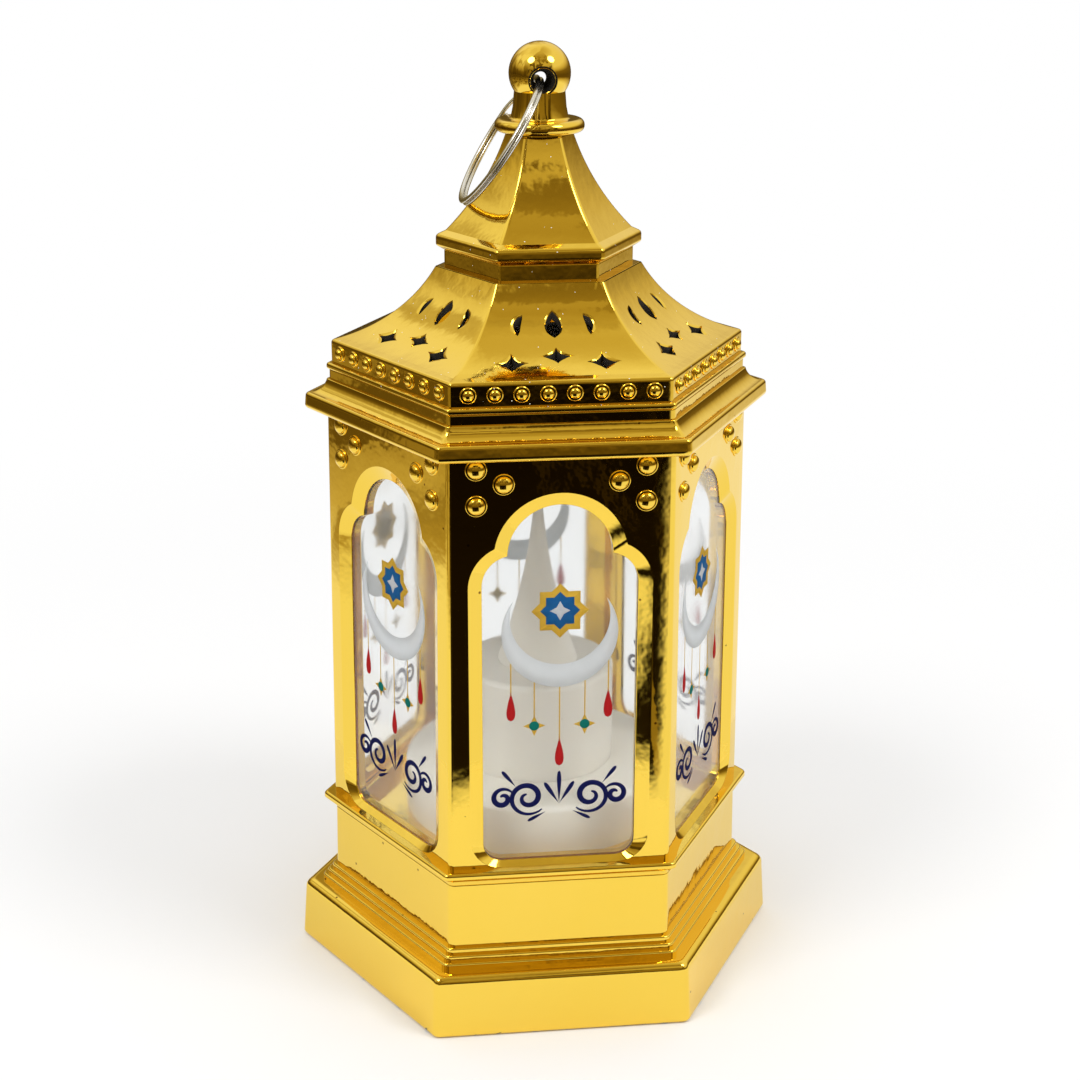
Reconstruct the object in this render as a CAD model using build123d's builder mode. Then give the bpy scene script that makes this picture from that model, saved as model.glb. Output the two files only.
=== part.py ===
from build123d import *
import os
from math import cos, degrees, hypot, radians, sin, sqrt

# A hexagonal lantern: foot, arched body, two-tier roof, ball finial with a wire ring, and a lit candle.
# Millimetres, +Z up, origin in the middle of the foot's underside. The front window faces -Y and two
# corners of the hexagon lie on the X axis. Every radius of a hexagon runs from its centre to a corner.

# Hexagon
sides = 6
turn = 360 / sides
apothem_share = cos(radians(turn / 2))

# The body's corner radius at its foot, which every other hexagon follows
sleeve_radius = 44.0

# Foot, ribs and block
wall = 2.0
foot_tread = 4.79
foot_draft = 1.0
foot_height = 13.5
foot_lip = 1.7
foot_edge = 0.8
rib_count = 3
rib_tread = 1.02
rib_rise = 1.2
block_step = 0.15
block_draft = 0.25
block_height = 13.9
deck_thickness = 2.0
register_height = 3.0
register_wall = 1.6

# Body: ledge, sleeve, arches and beads
cove_height = 2.2
ledge_overhang = 2.4
ledge_rim = 1.3
ledge_edge = 0.5
sleeve_draft = 1.0
sleeve_height = 85.7
jamb_depth = 1.3
slot_depth = 1.1
rail_depth = 1.7
band_width = 2.75
pilaster_width = 4.1
arch_step = 1.25
arch_centre_drop = 20.35
shoulder_radius = 6.2
shoulder_drop = 26.25
sill_rise = 1.0
sill_splay_share = 0.36
sill_corner = 3.6
pane_thickness = 0.8
pane_lap = 2.0
bead_radius = 1.55
bead_rise = 0.95
bead_ring_radius = 2.1
bead_ring_rise = 0.3
bead_outer_inset = 5.8
bead_inner_inset = 11.0
bead_top_drop = 2.45
bead_inner_drop = 5.4
bead_lower_drop = 9.5

# Cornice
cornice_overhang = 3.6
cornice_draft = 0.3
cornice_rim = 3.4
cornice_edge = 0.9
cornice_tread = 1.3
cornice_rise = 2.7
cornice_hollow = 0.5
cornice_ledge = 0.5
riser_setback = 1.6
riser_height = 2.0
cornice_wall = 2.6
skirt_wall = 1.6
skirt_depth = 3.0

# Lower roof with its bead band, cut-outs and neck
roof_wall = 1.8
lip_overhang = 0.5
lip_height = 1.3
lip_edge = 0.5
bead_band_setback = 1.1
bead_band_height = 4.6
band_bead_count = 8
band_bead_radius = 1.5
band_bead_rise = 0.9
band_bead_inset = 3.425
roof_rise = 14.4
roof_hollow = 2.5
roof_run = 21.0
neck_setback = 1.8
neck_height = 3.3
lens_length = 4.2
lens_width = 3.1
lens_inset = 5.05
lens_bulge_share = 1.0
side_lens_length = 3.4
side_lens_width = 1.5
side_lens_spread = 6.2
side_lens_lean = 20.0
side_lens_bulge_share = -0.12
star_width = 6.3
star_length = 3.4
star_inset = 7.35
side_star_length = 4.6
side_star_spread = 8.6
side_star_inset = 5.65
star_waist_share = 0.44

# Upper roof
eave_overhang = 1.7
eave_cove = 1.0
eave_rim = 2.0
eave_edge = 0.5
eave_slope = 0.9
spire_setback = 2.0
spire_height = 18.8
spire_hollow = 1.15
spire_top_radius = 6.8
spire_top_wall = 3.0

# Finial and ring
stem_radius = 3.0
stem_length = 6.0
collar_step_radius = 7.0
collar_step_height = 0.3
collar_radius = 8.8
collar_height = 2.5
collar_edge = 1.0
post_foot_radius = 5.5
post_head_radius = 5.0
ball_radius = 6.05
ball_rise = 8.6
ball_hole_radius = 2.65
ball_hole_drop = 1.0
wire_radius = 0.75
ring_radius = 13.75
ring_gap = 0.5
ring_gap_turn = 89.0
ring_seat_gap = 0.3

# Candle and lamp
drum_gap = 4.3
drum_height = 11.0
drum_wall = 1.6
drum_edge = 1.0
candle_share = 0.5713
candle_height = 21.5
candle_wall = 1.5
candle_edge = 1.0
candle_ring_height = 1.5
wick_hole_radius = 5.0
flame_radius = 8.6
flame_height = 36.0
flame_hollow = 1.2
flame_tip_radius = 0.9
flame_bore_radius = 6.0
flame_bore_height = 15.0
lamp_post_radius = 5.0
lamp_post_bore = 3.6
board_radius = 6.5
board_thickness = 1.2
lamp_radius = 2.5
lamp_length = 8.6
lamp_flange_radius = 2.9
lamp_flange_height = 1.0

# Bottom cover, battery box and switch
cover_recess = 1.0
cover_thickness = 3.0
door_thickness = 2.0
door_lip = 1.2
door_ear_radius = 4.2
tongue_width = 7.0
tongue_height = 0.9
tongue_reach = 1.4
box_wall = 1.5
cell_radius = 5.25
cell_length = 44.5
cell_nub_radius = 1.9
cell_nub_length = 0.9
cell_edge = 0.6
cell_count = 3
cell_gap = 0.5
strip_thickness = 0.4
strip_width = 7.0
strip_height = 7.0
leaf_width = 4.0
leaf_reach = 2.6
tab_width = 3.0
tab_rise = 2.6
switch_length = 12.0
switch_width = 6.5
switch_height = 5.5
switch_floor = 0.8
switch_inset = 7.0
carriage_length = 5.0
carriage_width = 4.5
carriage_height = 1.6
knob_length = 3.2
knob_width = 2.6
knob_drop = 2.4
switch_travel = 3.0
terminal_width = 1.5
terminal_thickness = 0.5
terminal_rise = 2.6
terminal_pitch = 3.4
terminal_count = 3
lead_radius = 0.65
lead_bend = 3.0
lead_run = 5.0
lead_spread = 1.7

# Screws and their bosses
boss_radius = 3.2
cover_screw_radius = 1.25
cover_screw_head = 2.5
cover_screw_length = 10.0
door_screw_radius = 1.1
door_screw_head = 2.2
door_screw_length = 8.0
candle_screw_radius = 1.1
candle_screw_head = 2.2
candle_screw_length = 8.0
candle_screw_inset = 7.0
candle_screw_count = 3
screw_slot_width = 0.6
screw_slot_depth = 0.5

# Clearances
fit_gap = 0.15
slide_gap = 0.2
rest_gap = 0.1
screw_gap = 0.08
overrun = 1.0

# Levels, from the floor up
rib_top = foot_height + rib_count * rib_rise
deck_top = rib_top + block_height
ledge_bottom = deck_top
ledge_top = ledge_bottom + cove_height + ledge_rim
sleeve_top = ledge_top + sleeve_height
cornice_rim_top = sleeve_top + cornice_rim
riser_bottom = cornice_rim_top + cornice_rise
riser_top = riser_bottom + riser_height
bead_band_bottom = riser_top + lip_height
roof_bottom = bead_band_bottom + bead_band_height
roof_top = roof_bottom + roof_rise
neck_top = roof_top + neck_height
spire_bottom = neck_top + eave_cove + eave_rim + eave_slope
spire_top = spire_bottom + spire_height
collar_bottom = spire_top + collar_step_height
collar_top = collar_bottom + collar_height
ball_level = collar_top + ball_rise
ball_hole_level = ball_level - ball_hole_drop
post_top = ball_level - sqrt(ball_radius**2 - post_head_radius**2)
cover_bottom = cover_recess
cover_top = cover_bottom + cover_thickness
door_top = cover_bottom + door_thickness
cell_level = door_top + fit_gap + cell_radius
box_top = cell_level + cell_radius + fit_gap + box_wall
drum_top = deck_top + drum_height
candle_top = drum_top + candle_height
board_level = candle_top - candle_wall - lamp_flange_height - board_thickness - overrun

# Corner radii of the hexagons, each from the one that carries it
block_radius = sleeve_radius + block_step
rib_radius = block_radius + rib_count * rib_tread
foot_radius = rib_radius + foot_tread
ledge_radius = sleeve_radius + ledge_overhang
cornice_radius = sleeve_radius + cornice_overhang
riser_radius = sleeve_radius - riser_setback
lip_radius = riser_radius + lip_overhang
bead_band_radius = lip_radius - bead_band_setback
roof_top_radius = bead_band_radius - roof_run
neck_radius = roof_top_radius - neck_setback
eave_radius = neck_radius + eave_overhang
spire_radius = eave_radius - spire_setback

# Half widths across flats that several pieces share
foot_cavity = (foot_radius - foot_draft) * apothem_share - wall
block_top_width = (block_radius - block_draft) * apothem_share
block_cavity = block_top_width - wall
frame_wall = jamb_depth + slot_depth + rail_depth
sleeve_bottom_width = sleeve_radius * apothem_share
sleeve_top_width = (sleeve_radius - sleeve_draft) * apothem_share
sleeve_inner_top = sleeve_top_width - frame_wall
sleeve_slope = (sleeve_bottom_width - sleeve_top_width) / sleeve_height
sleeve_inner_bottom = sleeve_inner_top + sleeve_slope * (sleeve_top - ledge_bottom)
riser_width = riser_radius * apothem_share
cornice_opening = riser_width - cornice_wall
roof_bottom_width = bead_band_radius * apothem_share
roof_top_width = roof_top_radius * apothem_share
neck_width = neck_radius * apothem_share
neck_opening = neck_width - roof_wall
register_width = sleeve_inner_bottom - fit_gap
register_opening = register_width - register_wall
drum_radius = register_opening - drum_gap
candle_radius = drum_radius * candle_share
candle_screw_circle = drum_radius - candle_screw_inset
switch_distance = block_cavity - switch_inset

# The window's arch, set out from the width of a face
half_face = sleeve_radius / 2
shoulder_spread = half_face - pilaster_width - band_width - shoulder_radius
arch_radius = shoulder_spread + arch_step
bead_outer_spread = half_face - bead_outer_inset
bead_inner_spread = half_face - bead_inner_inset

os.makedirs("parts", exist_ok=True)


def keep(piece, name):
    """Label a finished piece and write it to its own file."""
    piece.part.label = name
    export_step(piece.part, f"parts/{name}.step")


def hexagon(section):
    """The hexagonal solid of a mirrored section: what three copies of it share, pushed through square
    to the three pairs of faces."""
    with BuildPart() as solid:
        for pair in range(sides // 2):
            with BuildSketch(Plane.YZ.rotated((0, 0, pair * turn))):
                add(section)
            extrude(amount=foot_radius, both=True, mode=Mode.INTERSECT if pair else Mode.ADD)
    return solid.part


def hexagon_prism(half_width, bottom, top):
    """A straight hexagonal block of this half width across flats."""
    with BuildPart() as prism:
        with BuildSketch(Plane.XY.offset(bottom)):
            RegularPolygon(radius=half_width, side_count=sides, major_radius=False)
        extrude(amount=top - bottom)
    return prism.part


def hollow_arc(start, end, hollow):
    """An arc from start to end that sinks by hollow towards the axis and the floor."""
    chord = hypot(end[0] - start[0], end[1] - start[1])
    middle_x = (start[0] + end[0]) / 2 - hollow * (end[1] - start[1]) / chord
    middle_y = (start[1] + end[1]) / 2 - hollow * (start[0] - end[0]) / chord
    return ThreePointArc(start, (middle_x, middle_y), end)


def flat_screw(radius, head_radius, length):
    """A countersunk screw with its head's flat on the floor, its point up and a slot in its head."""
    with BuildPart() as screw:
        head_height = head_radius - radius
        Cone(head_radius, radius, head_height, align=(Align.CENTER, Align.CENTER, Align.MIN))
        Cylinder(radius, length, align=(Align.CENTER, Align.CENTER, Align.MIN))
        Box(2 * radius, screw_slot_width, 2 * screw_slot_depth, mode=Mode.SUBTRACT)
    return screw.part


# Base shell: a drafted foot with a rounded lip, three ribs and a plain block, open below. Its deck
# carries the candle and an upright rim that the body slips over.
with BuildSketch() as base_section:
    with BuildLine():
        foot_top_width = (foot_radius - foot_draft) * apothem_share
        base_points = [(0, 0), (foot_radius * apothem_share, 0), (foot_top_width, foot_height)]
        for rib in range(rib_count):
            rib_width = (rib_radius - rib * rib_tread) * apothem_share
            base_points.append((rib_width, foot_height + rib * rib_rise))
            base_points.append((rib_width, foot_height + (rib + 1) * rib_rise))
        base_points.append((block_radius * apothem_share, rib_top))
        base_points.append((block_top_width, deck_top))
        base_points.append((0, deck_top))
        Polyline(*base_points, close=True)
    make_face()
    foot_corners = base_section.vertices().sort_by(Axis.X)
    fillet(foot_corners[-1], foot_edge)
    fillet(base_section.vertices().filter_by(lambda v: v.Y == foot_height).sort_by(Axis.X)[-1], foot_lip)
    mirror(about=Plane.YZ)

base_outside = hexagon(base_section.sketch)
foot_hollow = hexagon_prism(foot_cavity, -overrun, foot_height - wall)
block_hollow = hexagon_prism(block_cavity, -overrun, deck_top - deck_thickness)
register_outside = hexagon_prism(register_width, deck_top, deck_top + register_height)
register_inside = hexagon_prism(register_opening, deck_top, deck_top + register_height + overrun)
cover_boss_circle = block_cavity / apothem_share - boss_radius
cover_boss_turns = [turn, 2 * turn, 4 * turn, 5 * turn]
cover_boss_places = [Vector(cover_boss_circle, 0).rotate(Axis.Z, angle) for angle in cover_boss_turns]

with BuildPart() as base_shell:
    add(base_outside)
    add(foot_hollow, mode=Mode.SUBTRACT)
    add(block_hollow, mode=Mode.SUBTRACT)
    add(register_outside)
    add(register_inside, mode=Mode.SUBTRACT)
    with BuildSketch(Plane.XY.offset(cover_top)):
        with Locations(*cover_boss_places):
            Circle(boss_radius)
    extrude(amount=deck_top - deck_thickness - cover_top)
    with BuildSketch(Plane.XY.offset(cover_top - overrun)):
        with Locations(*cover_boss_places):
            Circle(cover_screw_radius + screw_gap)
    extrude(amount=overrun + cover_screw_length, mode=Mode.SUBTRACT)
    with Locations((0, 0, deck_top)):
        Hole(lamp_post_bore)
    with Locations(Plane.XY.offset(deck_top - deck_thickness).rotated((180, 0, 0))):
        with PolarLocations(candle_screw_circle, candle_screw_count):
            CounterSinkHole(candle_screw_radius + screw_gap, candle_screw_head + screw_gap)
keep(base_shell, "base_shell")

# Body frame: the ledge and the six-sided sleeve in one moulding. Each side has a splayed arch, a slot
# behind it that a pane slides into from below, and six beads in the spandrels.
face_middle = Vector(0, -sleeve_top_width, sleeve_top)
face_up = Vector(0, sleeve_slope, 1)
front_face = Plane(origin=face_middle, x_dir=(1, 0, 0), z_dir=Vector(1, 0, 0).cross(face_up))


def arch(margin):
    """The arched window's outline, grown outwards by a margin, drawn from the face's top middle down.
    The sill grows less than the rest, so that its splay ends at the ledge."""
    foot_drop = sleeve_height - sill_rise + margin * sill_splay_share
    with Locations((0, -arch_centre_drop)):
        Circle(arch_radius + margin)
    with Locations((-shoulder_spread, -shoulder_drop), (shoulder_spread, -shoulder_drop)):
        Circle(shoulder_radius + margin)
    half_width = shoulder_spread + shoulder_radius + margin
    with Locations((0, -(shoulder_drop + foot_drop) / 2)):
        opening = Rectangle(2 * half_width, foot_drop - shoulder_drop)
    fillet(opening.vertices().group_by(Axis.Y)[0], sill_corner + margin)


pane_half_width = shoulder_spread + shoulder_radius + pane_lap
pane_top_drop = arch_centre_drop - arch_radius - pane_lap
pane_bottom_drop = sleeve_top - ledge_bottom
pane_height = pane_bottom_drop - pane_top_drop

with BuildPart() as window_cutter:
    with BuildSketch(front_face):
        arch(band_width)
    with BuildSketch(front_face.offset(-jamb_depth)):
        arch(0)
    loft(ruled=True)
    with BuildSketch(front_face.offset(-jamb_depth + rest_gap)):
        arch(0)
    extrude(amount=-frame_wall)
    with BuildSketch(front_face.offset(-jamb_depth)):
        with Locations((0, -pane_top_drop + fit_gap)):
            pane_slot_width = 2 * (pane_half_width + fit_gap)
            Rectangle(pane_slot_width, pane_height + overrun, align=(Align.CENTER, Align.MAX))
    extrude(amount=-slot_depth)

with BuildPart() as bead:
    dome_radius = (bead_radius**2 + bead_rise**2) / (2 * bead_rise)
    with Locations((0, 0, bead_rise - dome_radius)):
        Sphere(dome_radius)
    with Locations((0, 0, -bead_rise)):
        ring_height = bead_rise + bead_ring_rise
        Cylinder(bead_ring_radius, ring_height, align=(Align.CENTER, Align.CENTER, Align.MIN))
    with BuildSketch(Plane.XY.offset(-bead_rise)):
        Circle(2 * bead_ring_radius)
    extrude(amount=-2 * dome_radius, mode=Mode.SUBTRACT)

bead_places = [
    (side * spread, -drop)
    for side in (-1, 1)
    for spread, drop in (
        (bead_outer_spread, bead_top_drop),
        (bead_inner_spread, bead_inner_drop),
        (bead_outer_spread, bead_lower_drop),
    )
]

with BuildSketch() as frame_section:
    with BuildLine():
        ledge_width = ledge_radius * apothem_share
        cove_start = (block_top_width, ledge_bottom)
        cove_end = (ledge_width, ledge_bottom + cove_height)
        Polyline((0, ledge_top), (0, ledge_bottom), cove_start)
        RadiusArc(cove_start, cove_end, -cove_height)
        Polyline(cove_end, (ledge_width, ledge_top), (sleeve_bottom_width, ledge_top))
        Polyline(
            (sleeve_bottom_width, ledge_top),
            (sleeve_top_width, sleeve_top),
            (0, sleeve_top),
            (0, ledge_top),
        )
    make_face()
    fillet(frame_section.vertices().filter_by(lambda v: v.Y == ledge_top).sort_by(Axis.X)[-1], ledge_edge)
    mirror(about=Plane.YZ)

with BuildSketch() as frame_inside:
    with BuildLine():
        inner_reach = sleeve_slope * overrun
        Polyline(
            (0, ledge_bottom - overrun),
            (sleeve_inner_bottom + inner_reach, ledge_bottom - overrun),
            (sleeve_inner_top - inner_reach, sleeve_top + overrun),
            (0, sleeve_top + overrun),
            close=True,
        )
    make_face()
    mirror(about=Plane.YZ)

frame_outside = hexagon(frame_section.sketch)
frame_hollow = hexagon(frame_inside.sketch)

with BuildPart() as body_frame:
    add(frame_outside)
    add(frame_hollow, mode=Mode.SUBTRACT)
    with PolarLocations(0, sides):
        add(window_cutter.part, mode=Mode.SUBTRACT)
    with PolarLocations(0, sides):
        with Locations(front_face):
            with Locations(*bead_places):
                add(bead.part)
    add(frame_hollow, mode=Mode.SUBTRACT)
keep(body_frame, "body_frame")

# Window panes: clear sheets that stand on the deck, each in the slot behind its arch.
for side in range(sides):
    with BuildPart() as pane:
        pane_plane = front_face.offset(-jamb_depth - (slot_depth - pane_thickness) / 2)
        with BuildSketch(pane_plane):
            with Locations((0, -pane_top_drop)):
                Rectangle(2 * pane_half_width, pane_height - fit_gap, align=(Align.CENTER, Align.MAX))
        extrude(amount=-pane_thickness)
    pane.part = pane.part.rotate(Axis.Z, side * turn)
    keep(pane, f"window_pane_{side + 1}")

# Cornice: a rim with a cove over it and a riser that the roof stands on. A flange rests on the sleeve
# and a skirt plugs into it.
skirt_opening = sleeve_inner_top - fit_gap - skirt_wall
with BuildSketch() as cornice_section:
    with BuildLine():
        rim_width = cornice_radius * apothem_share
        rim_top_width = (cornice_radius - cornice_draft) * apothem_share
        tread_end = (rim_top_width - cornice_tread, cornice_rim_top)
        cove_top = (riser_width + cornice_ledge, riser_bottom)
        Polyline((0, sleeve_top), (rim_width, sleeve_top), (rim_top_width, cornice_rim_top), tread_end)
        hollow_arc(tread_end, cove_top, cornice_hollow)
        Polyline(cove_top, (riser_width, riser_bottom), (riser_width, riser_top))
        Polyline((riser_width, riser_top), (0, riser_top), (0, sleeve_top))
    make_face()
    fillet(cornice_section.vertices().sort_by(Axis.X)[-2:], cornice_edge)
    mirror(about=Plane.YZ)

cornice_outside = hexagon(cornice_section.sketch)
cornice_hollow_space = hexagon_prism(cornice_opening, sleeve_top + wall, riser_top + overrun)
cornice_skirt = hexagon_prism(sleeve_inner_top - fit_gap, sleeve_top - skirt_depth, sleeve_top)
cornice_mouth = hexagon_prism(skirt_opening, sleeve_top - skirt_depth - overrun, riser_top + overrun)

with BuildPart() as cornice:
    add(cornice_outside)
    add(cornice_skirt)
    add(cornice_hollow_space, mode=Mode.SUBTRACT)
    add(cornice_mouth, mode=Mode.SUBTRACT)
keep(cornice, "cornice")

# Roof shell: a lip, a band of beads, six hollow faces with cut-outs and the neck that carries the spire.
roof_skirt_width = cornice_opening - fit_gap
with BuildSketch() as roof_section:
    with BuildLine():
        lip_width = lip_radius * apothem_share
        band_foot = (roof_bottom_width, bead_band_bottom)
        band_head = (roof_bottom_width, roof_bottom)
        roof_head = (roof_top_width, roof_top)
        lip_foot = (lip_width, riser_top)
        lip_head = (lip_width, bead_band_bottom)
        Polyline((0, riser_top), lip_foot, lip_head, band_foot, band_head)
        hollow_arc(band_head, roof_head, roof_hollow)
        Polyline(roof_head, (neck_width, roof_top), (neck_width, neck_top), (0, neck_top), (0, riser_top))
    make_face()
    fillet(roof_section.vertices().sort_by(Axis.X)[-2:], lip_edge)
    mirror(about=Plane.YZ)

with BuildSketch() as roof_inside:
    with BuildLine():
        inside_foot = (roof_bottom_width - roof_wall, roof_bottom - roof_wall)
        inside_head = (neck_opening, roof_top - roof_wall)
        Polyline((0, riser_top + roof_wall), (inside_foot[0], riser_top + roof_wall), inside_foot)
        hollow_arc(inside_foot, inside_head, roof_hollow)
        Polyline(inside_head, (neck_opening, neck_top + overrun))
        Polyline((neck_opening, neck_top + overrun), (0, neck_top + overrun), (0, riser_top + roof_wall))
    make_face()
    mirror(about=Plane.YZ)

roof_outside = hexagon(roof_section.sketch)
roof_hollow_space = hexagon(roof_inside.sketch)
roof_skirt = hexagon_prism(roof_skirt_width, riser_top - skirt_depth, riser_top)
roof_mouth = hexagon_prism(
    roof_skirt_width - skirt_wall, riser_top - skirt_depth - overrun, riser_top + roof_wall + overrun
)


def star(length, width):
    """A four-pointed star with hollow sides, drawn round its centre."""
    waist_x = star_waist_share * width / 2
    waist_y = star_waist_share * length / 2
    with BuildLine(mode=Mode.PRIVATE) as outline:
        for x_side, y_side in ((1, 1), (-1, 1), (-1, -1), (1, -1)):
            ThreePointArc(
                (x_side * width / 2, 0),
                (x_side * waist_x, y_side * waist_y),
                (0, y_side * length / 2),
            )
    return make_face(outline.edges(), mode=Mode.PRIVATE)


def lens(length, width, bulge_share):
    """A pointed lens, drawn upright round its centre: its second side bulges by a share of the first."""
    with BuildLine(mode=Mode.PRIVATE) as outline:
        ThreePointArc((0, -length / 2), (-width / 2, 0), (0, length / 2))
        ThreePointArc((0, length / 2), (bulge_share * width / 2, 0), (0, -length / 2))
    return make_face(outline.edges(), mode=Mode.PRIVATE)


lens_distance = roof_top_width + lens_inset
star_distance = roof_bottom_width - star_inset
side_star_distance = roof_bottom_width - side_star_inset
band_bead_pitch = (bead_band_radius - 2 * band_bead_inset) / (band_bead_count - 1)

with BuildPart() as roof_cutter:
    with BuildSketch(Plane.XY.offset(roof_bottom - roof_wall)):
        with Locations((0, -lens_distance)):
            add(lens(lens_length, lens_width, lens_bulge_share))
        with Locations(Location((-side_lens_spread, -lens_distance), -side_lens_lean)):
            add(lens(side_lens_length, 2 * side_lens_width, side_lens_bulge_share))
        with Locations(Location((side_lens_spread, -lens_distance), 180 + side_lens_lean)):
            add(lens(side_lens_length, 2 * side_lens_width, side_lens_bulge_share))
        with Locations((0, -star_distance)):
            add(star(star_length, star_width))
        with Locations((-side_star_spread, -side_star_distance), (side_star_spread, -side_star_distance)):
            add(star(side_star_length, star_width))
    extrude(amount=roof_rise)

with BuildPart() as band_bead:
    band_dome_radius = (band_bead_radius**2 + band_bead_rise**2) / (2 * band_bead_rise)
    with Locations((0, 0, band_bead_rise - band_dome_radius)):
        Sphere(band_dome_radius)
    with BuildSketch(Plane.XY.offset(-band_bead_rise)):
        Circle(2 * band_bead_radius)
    extrude(amount=-2 * band_dome_radius, mode=Mode.SUBTRACT)

bead_band_middle = Vector(0, -roof_bottom_width, bead_band_bottom + bead_band_height / 2)
bead_band_face = Plane(origin=bead_band_middle, x_dir=(1, 0, 0), z_dir=(0, -1, 0))

with BuildPart() as roof_shell:
    add(roof_outside)
    with PolarLocations(0, sides):
        with Locations(bead_band_face):
            with GridLocations(band_bead_pitch, 0, band_bead_count, 1):
                add(band_bead.part)
    add(roof_skirt)
    add(roof_hollow_space, mode=Mode.SUBTRACT)
    add(roof_mouth, mode=Mode.SUBTRACT)
    with PolarLocations(0, sides):
        add(roof_cutter.part, mode=Mode.SUBTRACT)
keep(roof_shell, "roof_shell")

# Upper roof: an eave on the neck and a hollow-sided spire, with a hole in its top for the finial's stem.
spire_foot = (spire_radius * apothem_share, spire_bottom)
spire_head = (spire_top_radius * apothem_share, spire_top)
with BuildSketch() as spire_section:
    with BuildLine():
        eave_width = eave_radius * apothem_share
        eave_bottom = neck_top + eave_cove
        eave_top = eave_bottom + eave_rim
        Polyline((0, neck_top), (neck_width, neck_top), (eave_width, eave_bottom))
        Polyline((eave_width, eave_bottom), (eave_width, eave_top), spire_foot)
        hollow_arc(spire_foot, spire_head, spire_hollow)
        Polyline(spire_head, (0, spire_top), (0, neck_top))
    make_face()
    fillet(spire_section.vertices().sort_by(Axis.X)[-2:], eave_edge)
    mirror(about=Plane.YZ)

with BuildSketch() as spire_inside:
    with BuildLine():
        inside_base = (spire_foot[0] - roof_wall, spire_bottom)
        inside_tip = (spire_head[0] - roof_wall, spire_top - spire_top_wall)
        Polyline((0, neck_top + roof_wall), (inside_base[0], neck_top + roof_wall), inside_base)
        hollow_arc(inside_base, inside_tip, spire_hollow)
        Polyline(inside_tip, (0, spire_top - spire_top_wall), (0, neck_top + roof_wall))
    make_face()
    mirror(about=Plane.YZ)

spire_outside = hexagon(spire_section.sketch)
spire_hollow_space = hexagon(spire_inside.sketch)
spire_skirt = hexagon_prism(neck_opening - fit_gap, neck_top - skirt_depth, neck_top)
spire_mouth = hexagon_prism(
    neck_opening - fit_gap - skirt_wall, neck_top - skirt_depth - overrun, neck_top + roof_wall + overrun
)

with BuildPart() as upper_roof:
    add(spire_outside)
    add(spire_skirt)
    add(spire_hollow_space, mode=Mode.SUBTRACT)
    add(spire_mouth, mode=Mode.SUBTRACT)
    with Locations((0, 0, spire_top)):
        Hole(stem_radius + fit_gap, depth=spire_top_wall + overrun)
keep(upper_roof, "upper_roof")

# Finial: a turned stem, collar and post with a ball, drilled below its middle from front to back for
# the ring.
with BuildPart() as finial:
    with BuildSketch(Plane.XZ) as finial_section:
        with BuildLine():
            Polyline(
                (0, spire_top - stem_length),
                (stem_radius, spire_top - stem_length),
                (stem_radius, spire_top),
                (collar_step_radius, spire_top),
                (collar_step_radius, collar_bottom),
                (collar_radius, collar_bottom),
                (collar_radius, collar_top),
                (post_foot_radius, collar_top),
                (post_head_radius, post_top),
                (0, post_top),
                close=True,
            )
        make_face()
        fillet(finial_section.vertices().sort_by(Axis.X)[-2:], collar_edge)
    revolve(axis=Axis.Z)
    with Locations((0, 0, ball_level)):
        Sphere(ball_radius)
    with Locations(Location((0, 0, ball_hole_level), (90, 0, 0))):
        Cylinder(ball_hole_radius, 2 * ball_radius + overrun, mode=Mode.SUBTRACT)
keep(finial, "finial")

# Hanging ring: steel wire bent round through the ball, its ends left just apart. It leans on the
# spire's ridge on the -X side, and the lean comes from the ridge's own curve.
hole_mouth = sqrt(ball_radius**2 - (ball_hole_radius - ball_hole_drop) ** 2)
mouth_sag = ring_radius - sqrt(ring_radius**2 - hole_mouth**2)
ring_drop = ball_hole_radius - wire_radius - ring_seat_gap - mouth_sag
ring_reach = ring_drop + 2 * ring_radius
ridge_steps = 200
ridge_arc = hollow_arc(spire_foot, spire_head, spire_hollow)
ridge_points = [ridge_arc @ (step / ridge_steps) for step in range(ridge_steps + 1)]


def ridge_distance(lean):
    """How far the ring's lowest point lies from the spire's ridge at this lean."""
    low_x = ring_reach * sin(radians(lean))
    low_z = ball_hole_level - ring_reach * cos(radians(lean))
    return min(hypot(low_x - point.X / apothem_share, low_z - point.Y) for point in ridge_points)


lean_step = 0.02
ring_lean = 60.0
while ridge_distance(ring_lean - lean_step) > wire_radius + ring_seat_gap:
    ring_lean -= lean_step
print("ring lean in degrees", round(ring_lean, 2))

ring_down = Vector(-sin(radians(ring_lean)), 0, -cos(radians(ring_lean)))
ring_middle = Vector(0, 0, ball_hole_level) + ring_down * (ring_drop + ring_radius)
ring_axis = Axis(ring_middle, ring_down.cross(Vector(0, 1, 0)))
gap_angle = degrees(ring_gap / ring_radius)
ring_start = (-ring_down).rotate(Axis((0, 0, 0), ring_axis.direction), gap_angle / 2 - ring_gap_turn)
ring_heading = ring_axis.direction.cross(ring_start)

with BuildPart() as hanging_ring:
    wire_start = ring_middle + ring_start * ring_radius
    with BuildSketch(Plane(origin=wire_start, x_dir=ring_start, z_dir=ring_heading)):
        Circle(wire_radius)
    revolve(axis=ring_axis, revolution_arc=360 - gap_angle)
keep(hanging_ring, "hanging_ring")

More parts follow.
